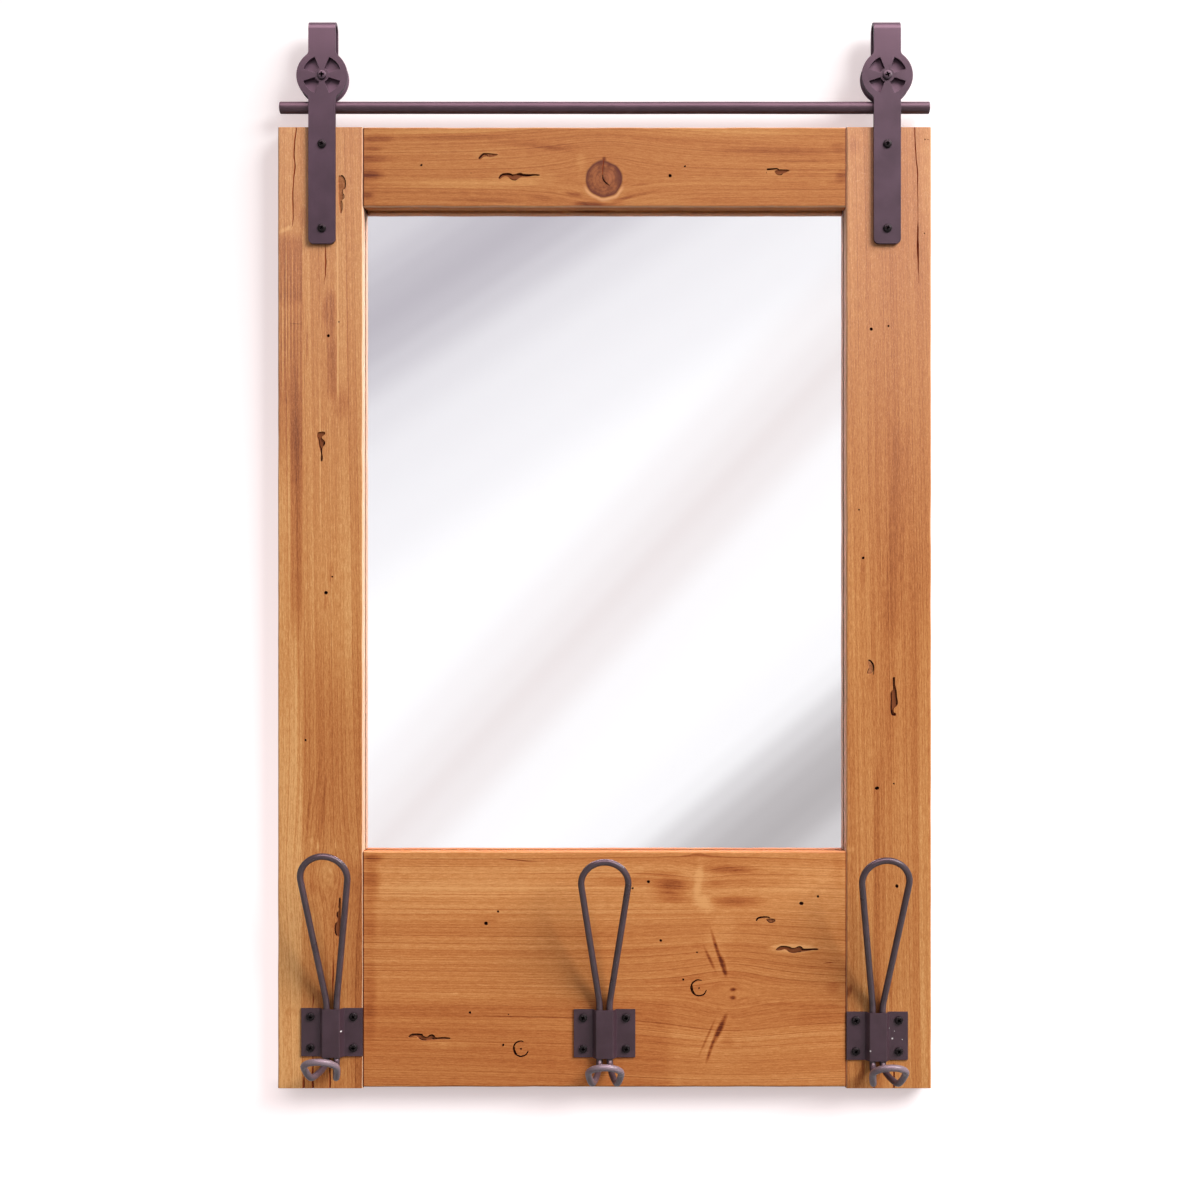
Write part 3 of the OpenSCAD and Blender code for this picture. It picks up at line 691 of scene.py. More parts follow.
@dataclass(frozen=True)
class PineFinish:
    """Brushed and waxed pine: growth lines, fibres, knots, stains and a satin gloss."""

    grain: Grain
    seed: float
    ring_pitch: float
    base: float = 0.55
    line_strength: float = 0.2
    sway: float = 8.0
    slant: float = 0.0
    # top_sheen: strength of the painted sheen, paler and pinker with pale glints towards the top.
    top_sheen: float = 0.0
    # edge_wear_and_highlight: how pale the eased front edges are painted, partly wear and partly a painted highlight.
    edge_wear_and_highlight: float = 0.25
    speckle: float = 0.32
    fibre: float = 0.42
    tint: Colour = (255, 255, 255)
    flow: tuple[Knot, ...] = ()
    stains: tuple[Stain, ...] = ()
    bands: tuple[Band, ...] = ()
    knots: tuple[Knot, ...] = ()

    def make(self, name: str) -> Material:
        """Builds the material.

        Args:
            name: Name of the material.

        Returns:
            The pine material.
        """
        g = Graph(name)
        along, across = (g.x, g.z) if self.grain is Grain.LEVEL else (g.z, g.x)
        sway = g.noise(g.vector(along * 1.6, across * 7, g.y * 7 + self.seed), 1, 2)
        v = (sway - 0.5) * (2 * self.sway * MM) + across
        v = along * self.slant + v
        for knot in self.flow:
            v = self.flowed(g, knot, along, across, v)
        v = g.y * 0.55 + v
        lines, bands = self.rings(g, along, v)
        streaks = g.noise(g.vector(along * 3.2, v * 340, self.seed), 1, 3, 0.6)
        fibres = g.noise(g.vector(along * 110, v * 1150, g.y), 1, 2, 0.6)
        clouds = g.noise(g.vector(along * 5, across * 22, self.seed + 5), 1, 3, 0.55)
        sanded = g.noise(g.vector(along * 560, across * 1500, g.y * 620), 1, 2, 0.6)
        level = bands + self.base
        for layer, force in ((streaks, 0.42), (clouds, 0.24), (fibres, self.fibre), (sanded, self.speckle)):
            level = level + (layer - 0.5) * force
        level = level + lines * -self.line_strength
        broken = g.fade(streaks, 0.25, 0.75, 1.25, 0.75)
        for stain in self.stains:
            level = g.spot(stain) * broken * stain.shift + level
        for band in self.bands:
            level = g.field(band) * band.shift + level
        colour = g.ramp(level, ((0, tone(100, 46, 24)), (0.25, tone(152, 83, 41)), (0.5, tone(185, 113, 61)),
            (0.75, tone(206, 140, 81)), (1, tone(229, 172, 112))))
        # Painted sheen: paler and pinker towards the top of the board, with pale painted glints on the sanded speckle.
        if self.top_sheen > 0:
            share = g.fade(g.z, -0.46, 0.06, 0, self.top_sheen)
            colour = g.mix(share, colour, g.mix(0.5, colour, tone(226, 176, 148)))
            painted_glints = g.fade(sanded, 0.56, 0.72) * (share * 0.4)
            colour = g.mix(painted_glints, colour, tone(240, 208, 180))
        colour = g.mix(1, colour, tone(*self.tint), "MULTIPLY")
        # Pale eased front edges: partly wear, partly a painted highlight.
        rim = g.fade(g.y, FACE_Y + 0.03 * MM, FACE_Y + 0.35 * MM) * g.fade(g.y, FACE_Y + 1.4 * MM, FACE_Y + 2 * MM,
            self.edge_wear_and_highlight, 0)
        colour = g.mix(rim, colour, tone(240, 204, 172))
        # Painted highlight: the stiles' inner side faces, next to the mirror, are painted pale.
        if self.grain is Grain.UPRIGHT:
            inside = g.fade(g.math("ABSOLUTE", g.x), 0.2264, 0.2272, 0.55, 0)
            colour = g.mix(inside * g.fade(g.y, FACE_Y + 1 * MM, FACE_Y + 1.8 * MM), colour, tone(236, 202, 176))
        for knot in self.knots:
            colour = self.knotted(g, knot, colour)
        rough = streaks * 0.2 + 0.42
        relief = lines * -0.6 + streaks
        coarse = g.bump(relief, 0.3 * MM, 0.3)
        normal = g.bump(fibres + sanded, 0.06 * MM, 0.5, coarse)
        return g.surface(colour, rough, normal, Specular_IOR_Level=0.07)

    def flowed(self, g: Graph, knot: Knot, along: Value, across: Value, v: Value) -> Wire:
        """Bends the growth lines round a knot.

        Args:
            g: The graph.
            knot: The knot.
            along: Coordinate along the grain.
            across: Coordinate across the grain.
            v: The bent coordinate so far.

        Returns:
            The coordinate bent once more.
        """
        u0, v0 = (knot.x, knot.z) if self.grain is Grain.LEVEL else (knot.z, knot.x)
        du = along - u0 * MM
        dv = across - v0 * MM
        far = du * (du * 0.45) + dv * dv
        size = (knot.r * MM) ** 2
        pull = g.math("DIVIDE", size, far + size * 1.15)
        return v - dv * pull

    def rings(self, g: Graph, along: Value, v: Value) -> tuple[Wire, Wire]:
        """Growth lines: thin dark lines at uneven spacing, and a tone of its own for each ring.

        Args:
            g: The graph.
            along: Coordinate along the grain.
            v: Bent coordinate across the grain.

        Returns:
            Darkness of the lines from 0 to 1, and the rings' shift in level.
        """
        drift = g.noise(g.vector(along * 0.5, v * 48, self.seed + 2), 1, 2)
        total: Value = 0.0
        tones: Value = 0.0
        for pitch, spread, start, weight, shift in ((1, 1.7, 0.86, 1, 0.11), (0.34, 3.4, 0.7, 0.55, 0.07)):
            turns = v * (1 / (self.ring_pitch * pitch * MM)) + drift * spread
            phase, index = g.math("FRACT", turns), g.math("FLOOR", turns)
            line = g.fade(phase, start, 0.96) * g.fade(phase, 0.96, 1, 1, 0)
            own = g.chance(index + self.seed * 3.7)
            patch = g.noise(g.vector(along * 4, index * 0.71, self.seed), 1, 2)
            force = g.fade(patch, 0.34, 0.62, 0.15, 1) * (own * 0.8 + 0.35)
            total = line * force * weight + total
            tones = (own - 0.5) * shift + tones
        return total, tones

    def knotted(self, g: Graph, knot: Knot, colour: Value) -> Wire:
        """Paints a round knot: brown clouds, a dark rim and a pale lip under it.

        Args:
            g: The graph.
            knot: The knot.
            colour: The colour round it.

        Returns:
            The new colour.
        """
        dx = g.x - knot.x * MM
        dz = g.z - knot.z * MM
        wobble = g.noise(g.vector(g.x, g.z, self.seed), 38, 2)
        far = g.math("SQRT", dx * dx + dz * dz)
        far = (wobble - 0.5) * (knot.r * MM * 0.45) + far
        share = g.math("DIVIDE", far, knot.r * MM)
        grit = g.noise(g.vector(g.x, g.z, g.y), 160, 4, 0.65)
        rings = g.math("PINGPONG", grit * 0.12 + share, 0.09)
        inner = g.mix(g.fade(grit, 0.35, 0.65), tone(120, 66, 38), tone(158, 94, 54))
        warm = g.spot(Stain(knot.x + 0.35 * knot.r, knot.z + 0.15 * knot.r, 0.4 * knot.r, 0.55 * knot.r, 1, 0.1))
        inner = g.mix(warm * 0.7, inner, tone(176, 106, 66))
        inner = g.mix(g.fade(rings, 0, 0.05, 0.3, 0), inner, tone(92, 48, 34))
        side = g.spot(Stain(knot.x + 0.82 * knot.r, knot.z + 0.25 * knot.r, 0.34 * knot.r, 0.9 * knot.r, 1, 0.2))
        inner = g.mix(side * 0.7, inner, tone(88, 46, 36))
        inner = g.mix(g.fade(share, 0.78, 0.98, 0, 0.9), inner, tone(88, 42, 32))
        under = g.fade(dz, -0.2 * knot.r * MM, -0.7 * knot.r * MM) * (g.fade(share, 1.02, 1.1)
            * g.fade(share, 1.12, 1.28, 1, 0))
        colour = g.mix(under * 0.7, colour, tone(226, 168, 116))
        return g.mix(g.fade(share, 0.95, 1.07, 1, 0), colour, inner)


@dataclass(frozen=True)
class ScarFinish:
    """Wood inside holes, gouges and cracks, darker the deeper it lies."""

    rim: Colour
    deep: Colour
    reach: float = 1.2 * MM

    def make(self, name: str) -> Material:
        """Builds the material.

        Args:
            name: Name of the material.

        Returns:
            The scar material.
        """
        g = Graph(name)
        grit = g.noise(g.place, 700, 3, 0.6)
        sunk = g.y - FACE_Y
        share = g.fade((grit - 0.5) * self.reach + sunk, 0, self.reach)
        colour = g.mix(share, tone(*self.rim), tone(*self.deep))
        return g.surface(colour, 0.8, g.bump(grit, 0.3 * MM, 0.5), Specular_IOR_Level=0.05)


@dataclass(frozen=True)
class SteelFinish:
    """Painted steel with a dull bronze tone, faint clouds and a fine skin."""

    base: Colour = (53, 36, 46)
    light: Colour = (61, 42, 54)
    rough: float = 0.35
    grit_scale: float = 900.0
    flecks: tuple[tuple[float, float, float], ...] = ()
    # tip_wear_and_highlight: how much lighter the prong tips are, partly wear and partly a painted highlight.
    tip_wear_and_highlight: float = 0.0
    # top_highlight: how much lighter the top is painted, a painted highlight.
    top_highlight: float = 0.0

    def make(self, name: str) -> Material:
        """Builds the material.

        Args:
            name: Name of the material.

        Returns:
            The steel material.
        """
        g = Graph(name)
        clouds = g.noise(g.place, 38, 4, 0.6)
        grit = g.noise(g.place, self.grit_scale, 2, 0.5)
        colour = g.mix(g.fade(clouds, 0.3, 0.7), tone(*self.base), tone(*self.light))
        colour = g.mix(g.fade(grit, 0.62, 0.8, 0, 0.25), colour, dimmed(self.base, 0.62))
        # Painted highlight: lighter above a height of 0.08 to 0.14 m, on the straps' bends and whatever sits that
        # high.
        if self.top_highlight > 0:
            colour = g.mix(g.fade(g.z, 0.08, 0.14, 0, self.top_highlight), colour, tone(104, 77, 91))
        # Lighter prong tips: partly wear, partly a painted highlight.
        if self.tip_wear_and_highlight > 0:
            tip = g.fade(g.y, -0.086, -0.044, self.tip_wear_and_highlight, 0) * g.fade(g.z, -0.815, -0.795, 1, 0)
            colour = g.mix(tip * g.fade(grit, 0.3, 0.7, 0.75, 1), colour, tone(164, 142, 152))
        for x, z, radius in self.flecks:
            colour = g.mix(g.spot(Stain(x, z, radius, radius, 1, 0.5)), colour, tone(225, 220, 218))
        rough = clouds * 0.16 + (self.rough - 0.08)
        return g.surface(colour, rough, g.bump(grit, 0.05 * MM, 0.5), Specular_IOR_Level=0.3)


@dataclass(frozen=True)
class ScrewFinish:
    """Plated screw: dark or bright, with a metal gloss and a worn grain."""

    base: Colour
    metallic: float
    rough: float
    # glint_specks: share of painted glints on the head.
    glint_specks: float = 0.0
    gloss: float = 0.5

    def make(self, name: str) -> Material:
        """Builds the material.

        Args:
            name: Name of the material.

        Returns:
            The screw material.
        """
        g = Graph(name)
        grit = g.noise(g.place, 1500, 3, 0.6)
        clouds = g.noise(g.place, 300, 3)
        colour = g.mix(g.fade(clouds, 0.35, 0.7), tone(*self.base), dimmed(self.base, 0.7))
        # Painted glints: pale specks on the head.
        if self.glint_specks > 0:
            colour = g.mix(g.fade(grit, 0.6, 0.68, 0, self.glint_specks), colour, tone(150, 142, 146))
        rough = clouds * 0.2 + (self.rough - 0.1)
        return g.surface(colour, rough, g.bump(grit, 0.04 * MM, 0.6), Metallic=self.metallic,
            Specular_IOR_Level=self.gloss)


@dataclass(frozen=True)
class PlainFinish:
    """A plain pale material with fine fibres or clouds, such as birch or nylon."""

    pale: Colour
    dark: Colour
    density: tuple[float, float, float]
    layers: tuple[float, float]
    rough: float
    relief: tuple[float, float]

    def make(self, name: str) -> Material:
        """Builds the material.

        Args:
            name: Name of the material.

        Returns:
            The plain material.
        """
        g = Graph(name)
        x, y, z = self.density
        fibres = g.noise(g.vector(g.x * x, g.y * y, g.z * z), 1, *self.layers)
        return g.surface(g.mix(fibres, tone(*self.pale), tone(*self.dark)), self.rough, g.bump(fibres, *self.relief))


@dataclass(frozen=True)
class HardboardFinish:
    """Hardboard with the pressed mesh of its rough side and long brown fibres."""

    pale: Colour = (142, 100, 68)
    dark: Colour = (104, 70, 46)
    mesh_pitch: float = 1.6

    def make(self, name: str) -> Material:
        """Builds the material.

        Args:
            name: Name of the material.

        Returns:
            The hardboard material.
        """
        g = Graph(name)
        fibres = g.noise(g.place, 260, 5, 0.7)
        clouds = g.noise(g.place, 12, 4, 0.6)
        turn = 2 * pi / (self.mesh_pitch * MM)
        weave = g.math("SINE", g.x * turn) * g.math("SINE", g.z * turn)
        colour = g.mix(g.fade(clouds * 0.5 + fibres * 0.5, 0.35, 0.65), tone(*self.dark), tone(*self.pale))
        colour = g.mix(g.fade(weave, -0.9, 0.2, 0.35, 0), colour, dimmed(self.dark, 0.7))
        height = weave * 0.5 + fibres
        return g.surface(colour, 0.82, g.bump(height, 0.25 * MM, 0.7), Specular_IOR_Level=0.2)


@dataclass(frozen=True)
class SilverFinish:
    """The mirror's silver layer, with a faint haze."""

    shine: Colour = (247, 247, 248)

    def make(self, name: str) -> Material:
        """Builds the material."""
        g = Graph(name)
        return g.surface(tone(*self.shine), g.noise(g.place, 9, 2) * 0.004 + 0.002, Metallic=1)


@dataclass(frozen=True)
class GlassFinish:
    """Clear float glass."""

    tint: Colour = (253, 252, 254)

    def make(self, name: str) -> Material:
        """Builds the material."""
        return Graph(name).surface(tone(*self.tint), 0, Transmission_Weight=1, IOR=1.5, Specular_IOR_Level=0.5)


class Paintbox:
    """The finishes that several pieces share, each made once."""

    def __init__(self) -> None:
        """Makes the finishes that several pieces share."""
        self.steel = SteelFinish(top_highlight=0.5).make("bronze_steel")
        self.bar = SteelFinish(base=(68, 47, 56), light=(78, 55, 65), rough=0.44).make("bronze_bar")
        self.wire = SteelFinish(base=(66, 50, 55), light=(80, 62, 68), rough=0.3, tip_wear_and_highlight=0.62).make("bronze_wire")
        # The wheels' bronze is a lighter copy of the straps' bronze, lifted against the shade behind the strap:
        # painted light.
        self.cast = SteelFinish(base=(84, 60, 74), light=(100, 73, 89), rough=0.5, grit_scale=420).make("bronze_cast_shade_lifted")
        self.black = ScrewFinish((24, 17, 18), 0, 0.36, 0.3, 0.1).make("black_screw")
        # Near-black finish for the cross recesses: painted shade.
        self.recess = ScrewFinish((5, 4, 4), 0, 0.8, 0, 0).make("recess_painted_shade")
        self.zinc = ScrewFinish((186, 188, 190), 0.9, 0.34).make("zinc_steel")
        self.birch = PlainFinish((222, 190, 142), (198, 160, 110), (40, 900, 900), (3, 0.6), 0.6,
            (0.1 * MM, 0.5)).make("birch")
        self.hardboard = HardboardFinish().make("hardboard")
        self.silver = SilverFinish().make("silver")
        self.glass = GlassFinish().make("clear_glass")
        self.nylon = PlainFinish((228, 224, 212), (212, 208, 197), (500, 500, 500), (2, 0.5), 0.5,
            (0.03 * MM, 0.4)).make("nylon")
        self.scar = ScarFinish((112, 52, 28), (52, 20, 10)).make("pine_scar")
        self.split = ScarFinish((160, 74, 38), (136, 58, 28), 2 * MM).make("pine_split")
        self.pit = ScarFinish((206, 140, 92), (132, 74, 42), 1.1 * MM).make("pine_pit")


@dataclass
class Assembly:
    """A sub-assembly that takes its finishes from the shared paintbox."""

    paints: Paintbox


def dress_node(node: str, material: Material) -> None:
    """Gives a CAD node that stays in view its finish.

    Args:
        node: Name of the node.
        material: Its finish.
    """
    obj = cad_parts[node]
    if not obj.material_slots:
        obj.data.materials.append(material)
    for slot in obj.material_slots:
        slot.material = material
    LOG.info("%s keeps its CAD shape", node)


# ---- wear of the boards


@dataclass(frozen=True)
class Hole:
    """A round worm hole; like all marks, in millimetres on the front."""

    x: float
    z: float
    r: float
    depth: float = 4.0


@dataclass(frozen=True)
class Crack:
    """A crack that tapers to both ends."""

    points: tuple[Point, ...]
    half_width: float
    open_end: bool = False


@dataclass(frozen=True)
class Pit:
    """A shallow carved hollow in its outline."""

    outline: tuple[Point, ...]
    depth: float = 1.1


@dataclass(frozen=True)
class Crescent:
    """A carved open ring with a dot in its middle."""

    x: float
    z: float
    r: float


@dataclass(frozen=True)
class Wear:
    """Everything that time has done to one board."""

    holes: tuple[Hole, ...] = ()
    cracks: tuple[Crack, ...] = ()
    pits: tuple[Pit, ...] = ()
    strokes: tuple[Line, ...] = ()
    crescents: tuple[Crescent, ...] = ()


@dataclass
class WearCutter(Assembly):
    """Makes the shapes that cut a board's wear out of its front."""

    wear: Wear
    seed: int

    def __post_init__(self) -> None:
        """Seeds the small irregularities."""
        self.dice = random.Random(self.seed)

    def apply(self, obj: Object) -> None:
        """Cuts the wear into a board: the shallow hollows first, then everything dark.

        Args:
            obj: The board.
        """
        if self.wear.pits:
            cut(obj, join([self.pit(pit) for pit in self.wear.pits], "pits"), self.paints.pit)
        if self.wear.cracks:
            cut(obj, join([self.crack(crack) for crack in self.wear.cracks], "cracks"), self.paints.split)
        dark = [self.hole(hole) for hole in self.wear.holes]
        dark += [self.line(stroke, 0.15, 1.6, 2.7) for stroke in self.wear.strokes]
        for crescent in self.wear.crescents:
            dark += self.crescent(crescent)
        if dark:
            cut(obj, join(dark, "wear"), self.paints.scar)

    def pit(self, pit: Pit) -> Object:
        """Makes a hollow's cutter, whose floor is smaller than its mouth.

        Args:
            pit: The hollow.

        Returns:
            The cutter.
        """
        ring = softened(pit.outline, 3)
        places = [Vector((x * MM, FACE_Y - 1 * MM, z * MM)) for x, z in ring]
        obj = plate("pit", places, Vector((0, (1 + pit.depth) * MM, 0)))
        floor_y = max(vertex.co.y for vertex in obj.data.vertices)
        with edit_mode(obj, "FACE"):
            pick_faces(obj, lambda face: abs(face.calc_center_median().y - floor_y) < 1e-6)
            bpy.ops.mesh.inset(thickness=0.35 * MM, depth=0.3 * MM)
        return obj

    def hole(self, hole: Hole) -> Object:
        """Makes a slightly oval, tapering plug.

        Args:
            hole: The hole.

        Returns:
            The plug.
        """
        clear_selection()
        bpy.ops.mesh.primitive_cone_add(vertices=12, radius1=hole.r * MM * 1.05, radius2=hole.r * MM * 0.6,
            depth=(hole.depth + 1) * MM, location=(hole.x * MM, FACE_Y + (hole.depth - 1) / 2 * MM, hole.z * MM),
            rotation=(-pi / 2, self.dice.uniform(0, 3), 0))
        bpy.context.object.scale = (1, self.dice.uniform(0.75, 1), 1)
        return settle(bpy.context.object, "hole")

    def line(self, points: Line, sink: float, stretch: float, least: float = 0.0) -> Object:
        """Makes a tapering groove cutter along points on the front.

        Args:
            points: Sideways, upright and radius in millimetres.
            sink: Share of the radius by which its centre stands out of the wood.
            stretch: How much deeper than wide it is.
            least: Depth in millimetres that it reaches at least.

        Returns:
            The cutter.
        """
        places = [Vector((x * MM, -sink * r * MM, z * MM)) for x, z, r in points]
        obj = tube("groove", places, [r * MM for _, _, r in points], 2, 4)
        for vertex in obj.data.vertices:
            near = min(points, key=lambda p: hypot(p[0] * MM - vertex.co.x, p[1] * MM - vertex.co.z))
            vertex.co.y = FACE_Y + vertex.co.y * max(stretch, least / near[2])
        return obj

    def crack(self, crack: Crack) -> Object:
        """Makes a crack's cutter, jittered between its points.

        Args:
            crack: The crack.

        Returns:
            The cutter.
        """
        fine: list[tuple[float, float, float]] = []
        legs = list(zip(crack.points, crack.points[1:]))
        steps = 4
        count = len(legs) * steps
        for i, (a, b) in enumerate(legs):
            for k in range(steps + (i == len(legs) - 1)):
                t = (i * steps + k) / count
                swell = sin(pi * min(t * 1.15 + 0.04, 1)) ** 0.6 if not crack.open_end else min(1,
                    0.25 + 2.2 * (1 - t)) if t > 0.5 else 1
                side = self.dice.uniform(-0.28, 0.28)
                share = k / steps
                fine.append((a[0] + (b[0] - a[0]) * share + side, a[1] + (b[1] - a[1]) * share,
                    crack.half_width * 1.35 * max(swell, 0.25) * self.dice.uniform(0.75, 1.2)))
        return self.line(fine, 0, 1.5)

    def crescent(self, crescent: Crescent) -> list[Object]:
        """Makes an open ring that is cut in two strokes, and its dot.

        Args:
            crescent: The ring.

        Returns:
            The cutters.
        """
        made = []
        for first, last, far in ((70, 215, 1), (195, 345, 0.97), (165, 235, 0.86)):
            points = []
            for k in range(9):
                angle = radians(first + (last - first) * k / 8)
                taper = sin(pi * (0.1 + 0.8 * k / 8))
                reach = crescent.r * far * self.dice.uniform(0.97, 1.03)
                points.append((crescent.x + reach * cos(angle), crescent.z + reach * sin(angle) * 1.02,
                    0.28 + 0.46 * taper))
            made.append(self.line(points, 0, 1.8, 2.4))
        made.append(self.hole(Hole(crescent.x, crescent.z, 0.95, 3.5)))
        return made


# ---- frame boards


@dataclass
class Board(Assembly):
    """One pine board of the frame, with its rabbet, eased edges and wear."""

    node: str
    grain: Grain
    finish: PineFinish
    wear: Wear
    seed: int
    edge_r: float = 1.5 * MM
    end_r: float = 0.35 * MM
    edge_cuts: int = 70
    edge_wear: float = 0.35 * MM
    glass_gap: float = 1.0 * MM
    panel_gap: float = 0.5 * MM
    lip_gap: float = 0.0

    def build(self) -> None:
        """Makes and dresses the board."""
        obj = self.blank()
        self.wear_edges(obj)
        obj.data.materials.append(self.finish.make(f"pine_{self.node}"))
        cut(obj, self.rabbet())
        WearCutter(self.paints, self.wear, self.seed).apply(obj)
        smooth(obj, 28, FACE_Y)
        hand_over(obj, self.node)

    def blank(self) -> Object:
        """Planes the board: a block at its size, cut across its length, with eased front edges.

        Returns:
            The plain board.
        """
        low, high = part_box(self.node)
        obj = block(f"board_{self.node}", low, high)
        run = 0 if self.grain is Grain.LEVEL else 2
        tiny = 1e-6
        with edit_mode(obj, "EDGE"):
            pick_edges(obj, lambda a, b: abs(a[run] - b[run]) > tiny)
            bpy.ops.mesh.subdivide(number_cuts=self.edge_cuts)
        with edit_mode(obj, "EDGE"):
            pick_edges(obj, lambda a, b: abs(a[run] - b[run]) > tiny and max(a.y, b.y) < low.y + tiny)
            bpy.ops.mesh.bevel(offset=self.edge_r, segments=4, profile=0.5, affect="EDGES")
        with edit_mode(obj, "EDGE"):
            pick_edges(obj, lambda a, b: all(min(abs(p[run] - low[run]), abs(p[run] - high[run])) < tiny
                and p.y < high.y - tiny for p in (a, b)))
            bpy.ops.mesh.bevel(offset=self.end_r, segments=2, profile=0.5, affect="EDGES")
        return obj

    def wear_edges(self, obj: Object) -> None:
        """Rubs the eased front edges unevenly, always inwards.

        Args:
            obj: The plain board.
        """
        low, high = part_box(self.node)
        run, wide = (0, 2) if self.grain is Grain.LEVEL else (2, 0)
        middle = (low[wide] + high[wide]) / 2
        reach = self.edge_r * 1.05
        for vertex in obj.data.vertices:
            rim = min(vertex.co[wide] - low[wide], high[wide] - vertex.co[wide])
            if rim > reach or vertex.co.y > low.y + reach:
                continue
            side = 1 if vertex.co[wide] < middle else -1
            spot = Vector((vertex.co[run] * 26, side * 3 + self.seed, 0))
            rub = max(0, noise.noise(spot) + 0.25) * self.edge_wear
            rub += max(0, noise.noise(spot * 4.3) - 0.15) * self.edge_wear * 0.8
            vertex.co[wide] += side * rub
            if vertex.co.y > low.y + 1e-6:
                vertex.co.y += rub * 0.6

    def rabbet(self) -> Object:
        """Makes the stepped pocket for the glass and the backing panel, and a stile's hanger pocket.

        Returns:
            The cutter.
        """
        glass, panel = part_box("mirror_glass"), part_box("backing_panel")
        parts = []
        for (low, high), gap, ahead in ((glass, self.glass_gap, self.lip_gap), (panel, self.panel_gap, 0)):
            rim = Vector((gap, ahead, gap))
            parts.append(block("pocket", low - rim, Vector((high.x + gap, 1 * MM, high.z + gap))))
        plate_node = self.node.replace("stile", "keyhole_plate")
        if plate_node != self.node and plate_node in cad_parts:
            low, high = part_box(plate_node)
            slack = 0.05 * MM
            parts.append(block("plate_pocket", low - Vector((slack, 0, slack)),
                Vector((high.x + slack, 1 * MM, high.z + slack))))
            centre_x = (low.x + high.x) / 2
            head_r, pocket_y, top_z, low_z = 5.75 * MM, -10 * MM, 0, -10 * MM
            parts.append(block("head_pocket", (centre_x - head_r, pocket_y, low_z), (centre_x + head_r, 0, top_z)))
            for z in (top_z, low_z):
                clear_selection()
                bpy.ops.mesh.primitive_cylinder_add(vertices=40, radius=head_r, depth=-pocket_y,
                    location=(centre_x, pocket_y / 2, z), rotation=(pi / 2, 0, 0))
                parts.append(settle(bpy.context.object, "head_end"))
        return join(parts, "rabbet")


# Left stile: a dark band at its upper left and a bent figure low down.
LEFT_STILE_PINE = PineFinish(Grain.UPRIGHT, 3.1, 8, 0.71, 0.3, 4, 0.012, 0.42, 0.7, 0.46, 0.7,
    flow=(Knot(-258, -660, 15),),
    stains=each(Stain, (-257, -128, 9, 26, -0.3, 0.4), (-246, -214, 8, 24, -0.24), (-278.4, -158, 1.6, 24, -0.34),
    (-247, -235, 12, 60, -0.06), (-289, -140.2, 8, 0.6, -0.3, 0.3, -4), (-289, -28, 4, 26, -0.18),
    (-282, -40, 6, 14, -0.2), (-299, -52, 12, 3, 0.22, 0.2, 24), (-256, -375, 3, 16, -0.16), (-261, -400, 2, 16, -0.2),
    (-262, -655, 14, 20, 0.16, 0.1), (-268, -700, 10, 60, 0.12), (-276, -590, 2.2, 44, -0.16, 0.2, -7),
    (-271, -585, 2, 46, -0.16, 0.2, -8), (-263, -590, 2.2, 50, -0.16, 0.2, -5), (-240, -610, 8, 80, -0.06),
    (-268.5, -628, 1.6, 9, 0.3, 0.2), (-252, -628, 1.4, 10, 0.25, 0.2), (-274, -624, 3, 5, 0.2),
    (-293, -785, 10, 6, -0.1, 0.3), (-266, -844, 14, 12, -0.1)),
    bands=each(Band, ((-283, -650), (-220, -470), (1, 70), -0.18), ((-283, -900), (-220, -650), (1, 20), -0.16),
    ((-238, -900), (-220, -640), (8, 20), -0.14), ((-320, -120), (-283.2, -57), (0.5, 7), -0.24),
    ((-320, -270), (-283.2, -110), (0.5, 50), -0.24), ((-260, -208), (-250.6, -150), (0.7, 14), -0.28),
    ((-250.5, -215), (-249.2, -60), (0.3, 10), 0.3), ((-294, -420), (-282.8, -225), (1, 34), -0.3),
    ((-306, -330), (-295, -190), (1.2, 30), 0.08), ((-320, -215), (-283, -62), (0.4, 5), -0.1),
    ((-298.6, -190), (-297.6, -70), (0.3, 16), 0.4), ((-292.6, -175), (-291.7, -70), (0.3, 16), 0.36),
    ((-286.4, -200), (-285.6, -80), (0.3, 16), 0.3), ((-304.6, -185), (-303.7, -74), (0.3, 16), 0.36),
    ((-301.9, -200), (-300.4, -90), (0.4, 20), 0.36), ((-296, -190), (-294.6, -92), (0.4, 20), 0.32),
    ((-289.3, -180), (-288.1, -88), (0.4, 20), 0.26), ((-266.8, -330), (-265.6, -120), (0.3, 30), 0.2),
    ((-320, -900), (-220, -300), (1, 90), 0.07), ((-320, -900), (-284, -500), (1.5, 60), 0.06)))
